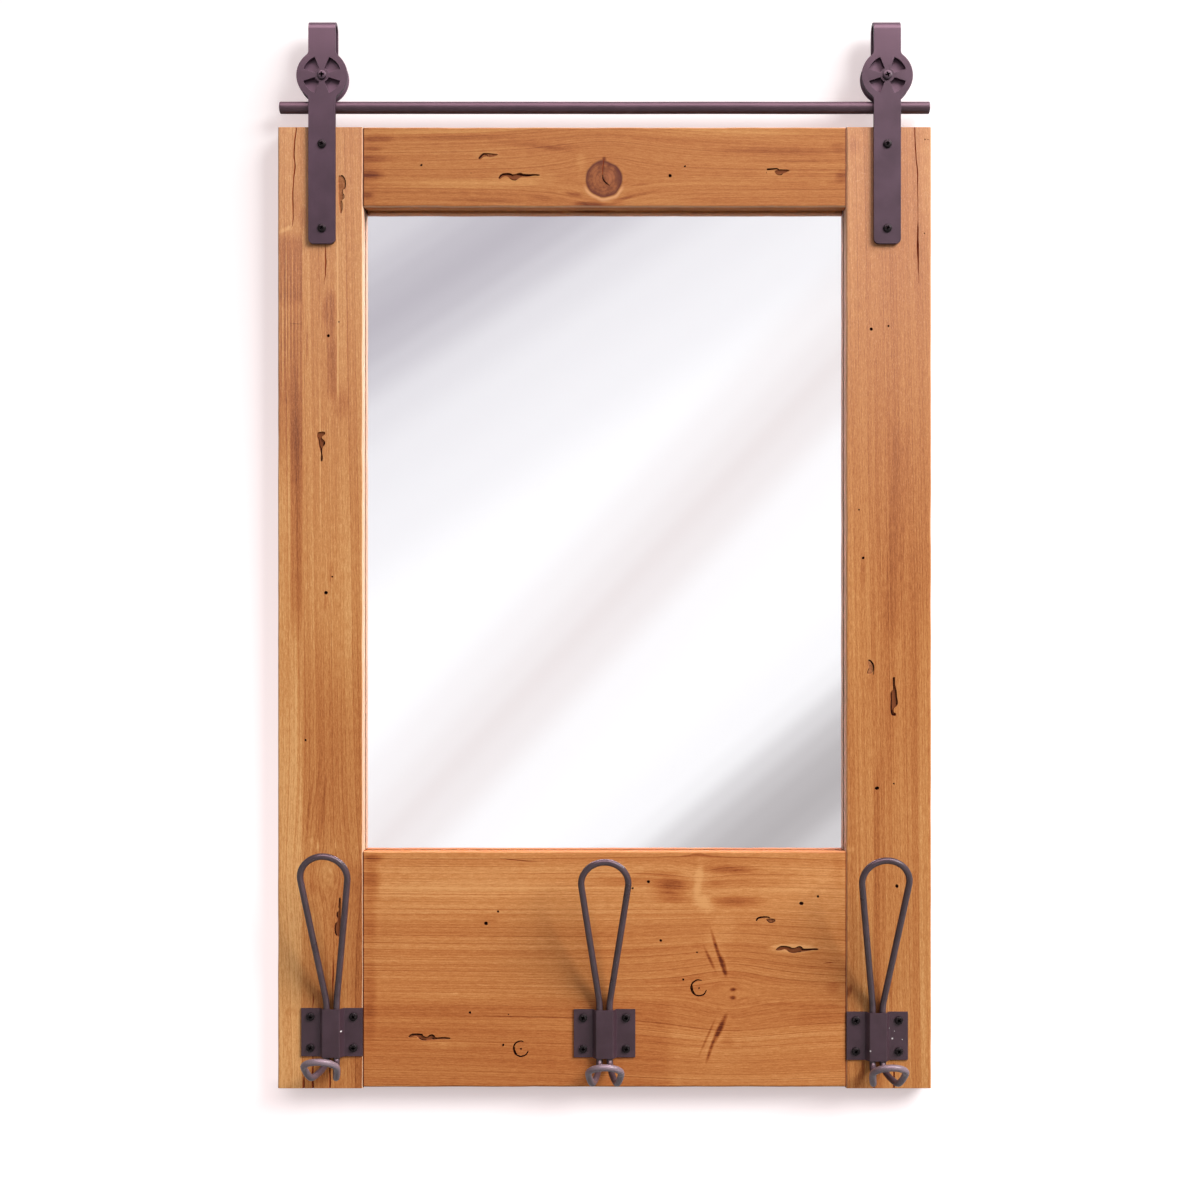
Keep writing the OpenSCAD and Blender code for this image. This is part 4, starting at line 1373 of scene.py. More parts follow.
LEFT_STILE_WEAR = Wear(
    holes=each(Hole, (-248.7, -138.5, 0.8), (-258.6, -151.4, 1.5), (-254.9, -377, 1, 1.5), (-260.8, -392, 1.9),
    (-279.9, -530, 1.3)),
    cracks=each(Crack, (((-288.4, 46), (-290.6, 23.3), (-290, 7.4), (-291.6, -15.3), (-291.6, -42.5), (-292.9, -50.4)),
    0.45, True), (((-261.6, -64), (-261.1, -90.1), (-262.7, -103.5)), 0.5), (((-272.8, -766), (-272.8, -790)), 0.4),
    (((-281.4, -858), (-281.1, -843)), 0.55, True), (((-273.1, -858), (-273.1, -822)), 0.65, True),
    (((-257, -858), (-257, -822)), 0.65, True), (((-254.2, -733), (-254.7, -777)), 0.5)),
    pits=each(Pit, (((-267.5, -241.5), (-262.2, -241.3), (-261.6, -243.6), (-264, -245.5), (-264.4, -247.5),
    (-262.5, -249.2), (-261.5, -251), (-261.8, -253.5), (-263.5, -255.5), (-264.2, -258), (-264.2, -262),
    (-263.6, -265), (-264, -268.3), (-265, -269.2), (-266, -267.8), (-265.8, -264), (-265.9, -260.5), (-266.8, -257),
    (-267.8, -253), (-268.2, -249), (-269.3, -245.5), (-269, -243)), 0.9),
    (((-249.3, -3), (-247.5, -1.5), (-244.5, -2.5), (-243, -7), (-243, -12.5), (-245.3, -14.5), (-245.3, -17.5),
    (-244.2, -20.5), (-244.6, -23.3), (-246, -24.5), (-245.8, -33), (-246.5, -37), (-248, -35), (-249, -26),
    (-249.4, -15)), 0.35), (((-248.6, -678), (-247, -678), (-247, -690), (-247.5, -712), (-250.5, -713.5),
    (-252.2, -711), (-253.3, -707), (-252.6, -702), (-250.6, -700), (-250.2, -697.5), (-251.4, -694.5), (-250.6, -691),
    (-249, -689.5), (-249.2, -684)), 0.9)),
    strokes=(((-262.6, -250.2, 0.5), (-262.6, -252, 0.85), (-263.2, -253.9, 0.5)),
    ((-268.2, -246, 0.3), (-267.2, -250, 0.4), (-266.4, -255, 0.5), (-265.3, -257.5, 0.7), (-265, -260, 0.75),
    (-264.9, -263.5, 0.6), (-264.9, -266, 0.75), (-265, -268.3, 0.7)), ((-247, -1.6, 0.5), (-245.5, -1.8, 0.7),
    (-243.7, -4, 0.55), (-242.6, -8, 0.6), (-242.8, -12, 0.55), (-243.6, -13.8, 0.35), (-245, -14.5, 0.28),
    (-245, -18, 0.28), (-243.8, -20, 0.3), (-243.8, -22.5, 0.28), (-245.5, -24, 0.28)),
    ((-246.2, -25, 0.25), (-245.4, -28, 0.28), (-245.5, -33, 0.25), (-246.8, -36.5, 0.35)),
    ((-248.2, -678.2, 0.55), (-248.6, -682, 0.4), (-249, -687, 0.3)), ((-249.9, -691, 0.5), (-250.5, -694, 0.75),
    (-249.6, -696.2, 0.5)), ((-251.2, -701, 0.4), (-252.4, -706, 0.7), (-252, -710, 0.75), (-250.8, -712.9, 0.55))))

# Right stile: even and pale at the top, with a long crack near its outer edge.
RIGHT_STILE_PINE = PineFinish(Grain.UPRIGHT, 8.4, 8, 0.615, 0.28, 3.5, 0.018, 0.6, 0.35, 0.46, 0.7,
    stains=each(Stain, (233, 27, 9, 12, -0.2, 0.1), (242, -372, 3, 26, -0.16), (249, -478, 4, 18, -0.12),
    (229, -765, 4, 9, -0.4, 0.2, -15), (240, -842, 4, 20, -0.26, 0.2, -15), (300, -5, 10, 70, 0.12),
    (258, -790, 4, 30, -0.12), (268, -760, 3, 40, -0.16), (231, -120, 5, 90, 0.06), (230, -632, 6, 5, 0.16)),
    bands=each(Band, ((267, -560), (281, -60), (0.7, 60), -0.08, 0.02), ((257.5, -900), (262.5, -540), (0.6, 20), -0.1,
    0), ((252, -900), (257.5, -560), (0.5, 20), -0.17), ((267.5, -620), (274, -320), (0.8, 60), -0.04),
    ((281, -430), (296.5, -240), (0.8, 16), -0.1, 0.045), ((287.5, -900), (292, -400), (0.8, 60), -0.05),
    ((258, -430), (266, -60), (0.7, 90), -0.06, 0.02), ((295, -900), (305, -400), (1, 60), 0.1),
    ((220, -900), (252, -640), (1, 60), -0.03), ((220, -900), (320, -560), (1, 60), 0.05)))
RIGHT_STILE_WEAR = Wear(
    holes=each(Hole, (299.9, 32.3, 0.8, 1), (302.7, 32.3, 0.6, 1), (299.5, -55.6, 0.8, 1), (249.6, -145.2, 1.6),
    (265.7, -142.3, 1.1), (238.1, -314.4, 0.8), (242.1, -359.4, 1.5), (255, -574.9, 2.1), (270.8, -570.7, 1),
    (273.6, -666.6, 1.9)),
    cracks=each(Crack, (((289.8, 46), (290.9, 27.8), (293, -1.6), (293.2, -50)), 0.42, True),
    (((293.2, -44), (293.2, -75), (294.3, -102)), 0.75), (((252.2, -858), (252.2, -838)), 0.7, True),
    (((270.8, -858), (270.8, -832)), 0.65, True)),
    pits=each(Pit, (((270, -471.3), (271.7, -471), (272, -474), (272, -478), (272.8, -481), (273.6, -485),
    (273.9, -490), (274.7, -493.5), (274.5, -496.3), (273, -498.3), (270.9, -500.5), (270.7, -503.6), (272.8, -504.9),
    (272.7, -506.9), (270.8, -507.5), (268.8, -507), (267.8, -504), (267.4, -498), (267.6, -492), (267.3, -488),
    (267.8, -484.5), (269.8, -482.7), (269.9, -478), (269.7, -474)), 1.1),
    (((246.2, -456), (248, -455.2), (250.5, -458.5), (251.4, -463), (250.6, -467), (247.2, -468.5), (245.8, -466),
    (247, -462)), 0.3)),
    strokes=(((270.8, -472, 0.75), (270.9, -475, 0.6), (270.9, -479, 0.7), (270.6, -482, 0.45)),
    ((272.3, -483, 0.35), (273, -488, 0.5), (273.7, -493, 0.5), (273.3, -496.5, 0.45)),
    ((268.6, -485.3, 0.7), (268.8, -488, 0.5), (268.7, -493, 0.6), (268.6, -498, 0.8), (268.7, -503, 0.9),
    (269.8, -506, 0.8), (272, -506, 0.7)), ((246.9, -455, 0.7), (248.6, -455.6, 0.8), (250.2, -457.2, 0.8),
    (251.5, -459.5, 0.75), (251.9, -462, 0.65), (251.9, -465.5, 0.45), (251.9, -469, 0.25)),
    ((248, -462.6, 0.3), (246.6, -465, 0.3), (246.1, -467.5, 0.35))))

# Top rail: one large dark knot in its middle.
TOP_RAIL_PINE = PineFinish(Grain.LEVEL, 5.7, 8, 0.535, 0.24, 5, 0.004, 0, 0.5, 0.3, 0.42, (250, 255, 255),
    flow=(Knot(-0.9, -4.8, 25),),
    knots=(Knot(-0.9, -4.8, 17.6),),
    stains=each(Stain, (-214, 33, 26, 5, -0.26), (-216, 14, 24, 5, -0.2), (-219, -1, 18, 6, -0.34),
    (-216, 24, 16, 3, -0.2), (-222, -20, 8, 4, -0.26), (-130, 34, 90, 4, -0.14), (-60, 27, 60, 5, -0.12, 0.2, -3),
    (-50, 24, 34, 3.4, -0.14, 0.2, -9), (-110, -25, 50, 4, -0.12), (-57, -23, 16, 4, -0.12, 0.2, -12),
    (-28, -19, 12, 3, -0.26, 0.2, -8), (-13, -28, 22, 3.2, -0.34, 0.3), (14, -25, 18, 3, -0.18, 0.2, 22),
    (30, -20, 30, 2.5, -0.16, 0.2, 14), (35, -10, 14, 1.6, -0.2, 0.2, 6), (160, 22, 90, 5, -0.16),
    (185, 12, 60, 1.6, -0.18), (180, 18, 50, 1.2, -0.1), (219, 25, 10, 8, -0.14), (222, -3, 9, 9, -0.24),
    (175, -9, 40, 2, -0.1), (215, -8, 12, 3, -0.1), (60, -21, 50, 2, 0.1), (45, -26, 60, 5, 0.12),
    (-150, 40, 90, 4, 0.14), (110, 39, 120, 6, 0.16), (-130, -9, 90, 6, 0.14), (-75, -3, 44, 9, 0.14),
    (-110, 17, 18, 6, 0.12), (157, 1, 20, 8, 0.1), (-0.4, 14, 3, 3.6, -0.4, 0.1), (62, -1, 7, 6, -0.05),
    (-22, 12, 7, 10, 0.14)),
    bands=each(Band, ((-232, -60), (-225.2, 60), (0.4, 2), -0.6), ((225.2, -60), (232, 60), (0.4, 2), -0.5),
    ((-240, -28), (-214, 30), (7, 6), -0.08)))
TOP_RAIL_WEAR = Wear(
    holes=each(Hole, (-171.5, 8.3, 1.3), (-125, 0.9, 0.5, 1), (61.3, -1.6, 1.7), (75.2, 7.2, 1.1)),
    cracks=each(Crack, (((-0.6, 14.2), (-1.8, 5), (-1.6, -4)), 0.4)),
    pits=each(Pit, (((-99.5, -3.4), (-97.5, -1), (-95.5, 0.6), (-92, 1), (-88.5, 1), (-87, 0), (-84, -0.2), (-80, 1.2),
    (-77.5, 1), (-75.5, -0.1), (-70, 0), (-65, 0), (-61.5, -0.4), (-60.6, -1.3), (-62, -1.8), (-66, -1.6), (-70, -2.4),
    (-73, -2.7), (-77, -2.6), (-80, -4), (-83, -6), (-86, -5.9), (-88.5, -4.6), (-90.5, -2.8), (-93, -2.2),
    (-96, -3.4), (-97.8, -4.9), (-99, -4.4)), 1), (((-118.3, 14.2), (-117.5, 16.5), (-115, 18.8), (-112.5, 19.8),
    (-108, 19.6), (-104, 19), (-100, 18.6), (-102, 16.8), (-107, 15.6), (-110.5, 16.4), (-113.5, 15.6), (-116, 13.8)),
    0.6), (((160, 3.2), (163, 4.4), (167.5, 4.3), (172, 4), (173, 2.9), (170, 1.6), (167.2, 0.2), (165.5, -1.2),
    (162, -0.9), (160, 0.6), (159, 2.2)), 0.8)),
    strokes=(((-99, -3.6, 0.5), (-97, -1.2, 0.7), (-95, -0.2, 0.75), (-91, 0.2, 0.75), (-88, -0.1, 0.75),
    (-86, -1.4, 0.45)), ((-88.8, -3.4, 0.35), (-86, -5.2, 0.5), (-82.5, -5.2, 0.5)),
    ((-82, -0.2, 0.45), (-79, -0.4, 0.95), (-76, -0.8, 0.95), (-72, -1, 0.95), (-66, -0.8, 0.75), (-62, -1.1, 0.6)),
    ((-117.6, 14.8, 0.8), (-115.8, 16.6, 0.75), (-113.6, 18.6, 0.7), (-111, 18.6, 0.5), (-109.5, 17.2, 0.4)),
    ((151.2, 1.3, 0.7), (151.6, 1.3, 0.7)), ((-1.7, -1, 0.4), (-1.4, -4.6, 0.6), (0.4, -7.4, 0.75), (2.6, -9.4, 0.6),
    (4.6, -10.9, 0.35)), ((151.8, 4.2, 0.8), (154, 4.4, 0.95), (158, 4.7, 0.8), (162, 4.7, 0.6), (163.4, 3.8, 0.4)),
    ((160.2, 1, 0.3), (162, -0.4, 0.45), (165.5, -0.5, 0.6), (167, 0.5, 0.4))))

# Bottom board: fine level lines that bend round two spikes right of its middle.
BOTTOM_BOARD_PINE = PineFinish(Grain.LEVEL, 12.9, 6.5, 0.745, 0.42, 3.5, 0.012, 0, 0.12, 0.36, 0.54, (255, 243, 236),
    flow=(Knot(116, -766, 26), Knot(88, -640, 12)),
    stains=each(Stain, (62, -667, 24, 17, -0.42, 0.1), (116, -651, 38, 6, -0.44, 0.1), (124, -681, 36, 7, -0.38, 0.1),
    (48, -655, 30, 5, -0.2, 0.1), (66, -680, 26, 5, -0.16, 0.1), (104, -664, 12, 8, -0.14, 0.1),
    (150, -660, 60, 12, -0.14, 0.3), (20, -662, 40, 6, -0.14), (88, -661, 6, 24, 0.26, 0.1, -8),
    (95, -684, 11, 13, 0.2, 0.1, 30), (90, -680, 12, 8, 0.16, 0.1), (-217, -640, 14, 5, -0.46),
    (-219, -662, 12, 26, -0.36), (-220, -700, 10, 30, -0.2), (-220, -770, 9, 60, -0.2),
    (105, -728, 11, 34, 0.1, 0.2, 17), (103, -808, 11, 34, 0.08, 0.2, -25), (105.5, -727, 2.6, 28, -0.6, 0.15, 17),
    (111.2, -741, 3.4, 14, -0.66, 0.2, 15), (98.5, -735, 2.2, 18, -0.46, 0.15, 25),
    (107.5, -801, 3.8, 21, -0.72, 0.2, -25), (99, -820, 2.4, 17, -0.56, 0.15, -18),
    (96, -808, 1.8, 26, -0.34, 0.1, -24), (120.2, -763.4, 4.4, 2.6, -0.5), (120.2, -771, 4.4, 2.8, -0.52),
    (100, -752, 14, 7, 0.08), (180, -778, 70, 3, -0.12, 0.2, -2), (200, -790, 40, 12, -0.08),
    (214, -762, 10, 9, -0.16), (-30, -725, 120, 18, -0.06), (-130, -664, 110, 16, 0.08), (170, -664, 60, 12, 0.1),
    (-150, -815, 40, 6, 0.12), (176, -725, 28, 6, 0.32, 0.5), (112, -705, 20, 20, 0.1), (115, -812, 10, 6, -0.14),
    (60, -815, 30, 8, -0.06), (-110, -698, 18, 5, -0.12), (110, -834, 34, 14, 0.06), (-150, -770, 80, 7, 0.1),
    (218, -650, 8, 20, -0.1), (130, -764, 40, 8, 0.06)),
    bands=each(Band, ((-230, -690), (230, -649), (4, 5), 0.1), ((-232, -900), (-225.2, -600), (0.4, 2), -0.6),
    ((225.2, -900), (232, -600), (0.4, 2), -0.5), ((-230, -900), (60, -774), (10, 5), -0.14),
    ((60, -800), (230, -700), (20, 10), -0.05), ((-230, -719), (60, -700), (10, 2), -0.05)))
BOTTOM_BOARD_WEAR = Wear(
    holes=each(Hole, (-99.7, -690.4, 1.4, 1.2), (-111, -701.5, 1.9), (-126, -785, 1.3), (-90, -786.8, 0.8, 1),
    (-95, -815.3, 1.3), (41, -662.5, 1.6), (26.2, -668.6, 1.2), (52.6, -717.5, 1.4), (86.5, -728.6, 0.9),
    (73.6, -754.1, 1.2), (184.2, -682.8, 2.2), (199.7, -676.2, 1.3)),
    cracks=each(Crack, (((-97.8, -640.8), (-73.8, -643.1), (-56.7, -643.6)), 0.3),
    (((204.2, -739), (218.7, -737.4)), 0.3)),
    pits=each(Pit, (((160.3, -726.6), (161, -725), (163.5, -723.3), (166, -722.5), (170, -722.6), (173, -723.3),
    (175.5, -724.3), (178.5, -724.2), (181, -723), (183.5, -722.8), (185, -724), (186.5, -725.1), (190, -725.1),
    (195, -724.9), (199.5, -725), (200.3, -725.9), (199.3, -726.6), (195, -726.7), (191, -727.3), (187, -727.9),
    (182, -728.5), (178.5, -729.3), (175.5, -729.4), (172.5, -728.3), (170.5, -726.7), (168.5, -725.9), (166, -726.6),
    (163.5, -727)), 1.1), (((-183.8, -808), (-182.8, -806.2), (-180.5, -804.8), (-177, -804.4), (-173, -804.6),
    (-170.5, -805), (-169.8, -806.3), (-167.5, -807.6), (-165.5, -807.2), (-163.5, -805.6), (-161, -805.4),
    (-159.3, -806.3), (-158.3, -807.9), (-156, -808.3), (-152, -807.9), (-147, -808.1), (-144.6, -808.6),
    (-144.4, -809.6), (-146, -810), (-152, -810), (-158, -810.4), (-164, -810.8), (-168, -811.3), (-171.5, -811),
    (-173.8, -809.6), (-175.3, -807.8), (-178, -807.2), (-181, -808.3), (-182.5, -808.7)), 1.1),
    (((151.5, -697.6), (155.5, -697), (159, -697.3), (160, -699.5), (157.5, -701), (154.5, -701), (152, -699.5)),
    0.6)),
    strokes=(((160.8, -726.4, 0.4), (163, -724.2, 0.55), (166, -723.2, 0.6), (170, -723.2, 0.6), (173.5, -724, 0.6),
    (176, -725, 0.5), (179, -724.6, 0.55), (181.5, -723.7, 0.65), (184, -723.9, 0.7), (185.5, -725.2, 0.6)),
    ((184.5, -726.2, 0.7), (188, -726.2, 0.95), (192, -726.1, 0.85), (196, -725.9, 0.75), (199.5, -725.9, 0.6)),
    ((171.5, -727.3, 0.3), (175.5, -728.8, 0.4), (179, -728.6, 0.35), (184, -728, 0.35)),
    ((-183.2, -808, 0.5), (-181.5, -806.3, 0.85), (-178, -805.7, 0.9), (-174, -805.7, 0.85), (-171, -806.2, 0.65),
    (-168.5, -808.2, 0.45), (-165.5, -808.2, 0.5), (-163.3, -806.4, 0.65), (-160.8, -806.5, 0.75),
    (-159.2, -808.4, 0.75)), ((-161.5, -809.8, 0.4), (-157, -809.2, 0.75), (-152, -809, 0.8), (-148, -809.1, 0.75),
    (-145.2, -809.1, 0.6)), ((-173.5, -809.2, 0.4), (-171, -810.5, 0.45), (-167, -810.8, 0.35)),
    ((141.9, -699, 0.7), (143.2, -697, 0.85), (145.5, -696, 0.95), (149, -695.6, 0.9), (153, -695.7, 0.75),
    (155, -696.6, 0.45)), ((152.3, -698.4, 0.45), (153.6, -700.2, 0.35), (156, -700.8, 0.4), (158.5, -700, 0.35)),
    ((156, -697.6, 0.28), (158.5, -697.8, 0.28))),
    crescents=each(Crescent, (-78.3, -819, 7.1), (88.4, -762, 7.5)))


@dataclass
class PineFrame(Assembly):
    """The four boards and the dowels that join them."""

    def build(self) -> None:
        """Makes the four boards."""
        for node, grain, pine, wear, seed, lip_gap in (("left_stile", Grain.UPRIGHT, LEFT_STILE_PINE, LEFT_STILE_WEAR,
                11, 0), ("right_stile", Grain.UPRIGHT, RIGHT_STILE_PINE, RIGHT_STILE_WEAR, 23, 0),
                ("top_rail", Grain.LEVEL, TOP_RAIL_PINE, TOP_RAIL_WEAR, 37, 2.4),
                ("bottom_board", Grain.LEVEL, BOTTOM_BOARD_PINE, BOTTOM_BOARD_WEAR, 41, 0)):
            Board(self.paints, node, grain, pine, wear, seed, lip_gap=lip_gap * MM).build()
        dress_node("frame_dowels", self.paints.birch)


# ---- mirror and back


@dataclass
class MirrorAndBack(Assembly):
    """The silvered glass, the backing panel and what holds them."""

    glass_edge: float = 0.4 * MM

    def build(self) -> None:
        """Makes the mirror and dresses the backing panel."""
        low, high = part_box("mirror_glass")
        glass = block("silvered_glass", low, high)
        ease(glass, self.glass_edge)
        glass.data.materials.append(self.paints.glass)
        glass.data.materials.append(self.paints.silver)
        for face in glass.data.polygons:
            if face.normal.y > 0.9:
                face.material_index = 1
        smooth(glass)
        hand_over(glass, "mirror_glass")
        dress_node("backing_panel", self.paints.hardboard)
        for side in ("left", "right"):
            dress_node(f"{side}_keyhole_plate", self.paints.zinc)


# ---- straps, rail and wheels


@dataclass
class HangerStrap(Assembly):
    """A flat strap with a spoked round face, folded over its wheel."""

    side: str
    width: float = 25.4 * MM
    thick: float = 3.0 * MM
    drop: float = 110 * MM
    corner_r: float = 5 * MM
    disc_r: float = 23.9 * MM
    fillet_r: float = 5 * MM
    window: tuple[float, float] = (6.8 * MM, 18 * MM)
    window_angles: tuple[float, float] = (18, 68)
    axle_hole_r: float = 2.6 * MM
    edge: float = 0.35 * MM
    leg_gap: float = 11 * MM
    bend_steps: int = 20

    def __post_init__(self) -> None:
        """Reads the strap's place from the frame."""
        low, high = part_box(f"{self.side}_strap")
        wheel_low, wheel_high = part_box(f"{self.side}_wheel")
        self.x = (low.x + high.x) / 2
        self.axle_z = (wheel_low.z + wheel_high.z) / 2
        self.wheel_y = (wheel_low.y + wheel_high.y) / 2
        self.low_z = low.z
        self.bend_z = high.z - self.leg_gap / 2 - self.thick
        self.front_y = self.wheel_y - self.leg_gap / 2 - self.thick

    def outline(self) -> list[Point]:
        """Outline of the front leg from its lower right corner, in metres about the axle.

        Returns:
            The corners in order.
        """
        half, low, top = self.width / 2, self.low_z - self.axle_z, self.bend_z - self.axle_z
        cx = half + self.fillet_r
        cz = sqrt((self.disc_r + self.fillet_r) ** 2 - cx * cx)
        meet = atan2(cz, cx)
        r = self.corner_r
        f, disc = self.fillet_r, self.disc_r
        right = [(half - r + r * cos(a), low + r + r * sin(a)) for a in (radians(-90 + 90 * k / 8) for k in range(9))]
        right += [(cx + f * cos(a), -cz + f * sin(a)) for a in (pi - meet * k / 8 for k in range(9))]
        right += [(disc * cos(a), disc * sin(a)) for a in (-meet + 2 * meet * k / 32 for k in range(1, 32))]
        right += [(cx + f * cos(a), cz + f * sin(a)) for a in (pi + meet * (1 - k / 8) for k in range(9))]
        right.append((half, top))
        return right + [(-x, z) for x, z in reversed(right)]

    def build(self) -> None:
        """Makes the strap: front leg, bend, rear leg, windows and holes."""
        places = [Vector((self.x + x, self.front_y, self.axle_z + z)) for x, z in self.outline()]
        obj = plate(f"{self.side}_hanger_strap", places, Vector((0, self.thick, 0)))
        self.fold(obj)
        cut(obj, join(self.windows() + [self.axle_hole()], "openings"))
        ease(obj, self.edge)
        smooth(obj)
        hand_over(obj, f"{self.side}_strap", self.paints.steel)

    def fold(self, obj: Object) -> None:
        """Spins the strap's upper end over the wheel and draws the rear leg down from it.

        Args:
            obj: The flat front leg.
        """
        tiny = 1e-5
        half = self.width / 2
        with edit_mode(obj, "FACE"):
            pick_faces(obj, lambda face: face.normal.z > 0.9 and abs(face.calc_center_median().z - self.bend_z) < tiny)
            bpy.ops.mesh.delete(type="ONLY_FACE")
            bpy.ops.mesh.select_mode(type="EDGE")
            pick_edges(obj, lambda a, b: abs(a.z - self.bend_z) < tiny and abs(b.z - self.bend_z) < tiny)
            bpy.ops.mesh.spin(steps=self.bend_steps, angle=pi, center=(self.x, self.wheel_y, self.bend_z),
                axis=(1, 0, 0))
            bpy.ops.mesh.extrude_region_move(TRANSFORM_OT_translate={"value": (0, 0,
                self.axle_z - half - self.bend_z)})
            bpy.ops.mesh.edge_face_add()
        foot = self.axle_z - half
        with edit_mode(obj, "EDGE"):
            pick_edges(obj, lambda a, b: abs(a.z - foot) < tiny and abs(b.z - foot) < tiny and abs(a.x - b.x) < tiny
                and min(a.y, b.y) > self.wheel_y)
            bpy.ops.mesh.bevel(offset=half * 0.99, segments=12, profile=0.5, affect="EDGES")
            turn_outwards()

    def windows(self) -> list[Object]:
        """Makes the cutters of the four windows between the spokes.

        Returns:
            The cutters.
        """
        inner, outer = self.window
        first, last = (radians(a) for a in self.window_angles)
        span = last - first
        sector = [(outer * cos(first + span * k / 12), outer * sin(first + span * k / 12)) for k in range(13)]
        sector += [(inner * cos(last - span * k / 4), inner * sin(last - span * k / 4)) for k in range(5)]
        made = []
        for sx in (-1, 1):
            for sz in (-1, 1):
                ring = [Vector((self.x + sx * x, self.front_y - 1 * MM, self.axle_z + sz * z)) for x, z in sector]
                made.append(plate("window", ring, Vector((0, self.thick + 2 * MM, 0))))
        return made

    def axle_hole(self) -> Object:
        """Makes the cutter of the axle's hole through both legs."""
        clear_selection()
        bpy.ops.mesh.primitive_cylinder_add(vertices=32, radius=self.axle_hole_r, depth=40 * MM,
            location=(self.x, self.wheel_y, self.axle_z), rotation=(pi / 2, 0, 0))
        return settle(bpy.context.object, "axle_hole")


@dataclass
class GroovedWheel(Assembly):
    """A wheel that straddles the rail, turned with a groove and a shallow dish in each face."""

    side: str
    half_t: float = 4.9 * MM
    radius: float = 23.5 * MM
    bore_r: float = 2.58 * MM
    groove_centre: float = 27.6 * MM
    groove_r: float = 5.8 * MM
    dish: float = 0.5 * MM
    hub_r: float = 7 * MM
    rim_r: float = 19.2 * MM
    steps: int = 96

    def profile(self) -> list[Point]:
        """Closed profile of the wheel as radius and height.

        Returns:
            The points in order.
        """
        t, d, soft = self.half_t, self.dish, 0.35 * MM
        edge = acos((self.groove_centre - self.radius) / self.groove_r)
        groove = [(self.groove_centre - self.groove_r * cos(a), self.groove_r * sin(a))
            for a in (-edge + 2 * edge * k / 12 for k in range(13))]
        lower = [(self.bore_r, -t + soft), (self.bore_r + soft, -t), (self.hub_r, -t), (self.hub_r + d, -t + d),
            (self.rim_r - d, -t + d), (self.rim_r, -t), (self.radius - soft, -t), (self.radius, -t + soft)]
        upper = [(r, -h) for r, h in reversed(lower)]
        return lower + groove + upper

    def build(self) -> None:
        """Turns the wheel and hangs it on its own body."""
        low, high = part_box(f"{self.side}_wheel")
        master = lathe("wheel_blank", self.profile(), self.steps, closed=True)
        obj = copied(master, f"{self.side}_grooved_wheel", facing_front((low + high) / 2))
        bpy.data.objects.remove(master)
        smooth(obj)
        # The wheel takes the lightened bronze, a painted lift against the shade behind its strap.
        hand_over(obj, f"{self.side}_wheel", self.paints.cast, body=f"{self.side}_wheel")


@dataclass
class RailAndWelds(Assembly):
    """The round rail and the beads that hold it to the straps."""

    chamfer: float = 0.8 * MM
    sides: int = 40
    cuts: int = 60
    wave: float = 0.35 * MM

    def build(self) -> None:
        """Makes the rail and dresses the weld beads."""
        low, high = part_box("rail_rod")
        clear_selection()
        bpy.ops.mesh.primitive_cylinder_add(vertices=self.sides, radius=(high.z - low.z) / 2, depth=high.x - low.x,
            location=(low + high) / 2, rotation=(0, pi / 2, 0))
        obj = settle(bpy.context.object, "rail_bar")
        tiny = 1e-6
        with edit_mode(obj, "EDGE"):
            pick_edges(obj, lambda a, b: abs(a.x - b.x) > tiny)
            bpy.ops.mesh.subdivide(number_cuts=self.cuts)
        with edit_mode(obj, "EDGE"):
            pick_edges(obj, lambda a, b: abs(a.x - b.x) < tiny and min(abs(a.x - low.x), abs(a.x - high.x)) < tiny)
            bpy.ops.mesh.bevel(offset=self.chamfer, segments=2, profile=0.5, affect="EDGES")
        strap_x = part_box("right_strap")[0].x
        for vertex in obj.data.vertices:
            free = max(0, 1 - (abs(vertex.co.x) / strap_x) ** 4)
            vertex.co.z += noise.noise(Vector((vertex.co.x * 7, 4.2, 0))) * self.wave * free
        smooth(obj)
        hand_over(obj, "rail_rod", self.paints.bar)
        dress_node("rail_welds", self.paints.bar)


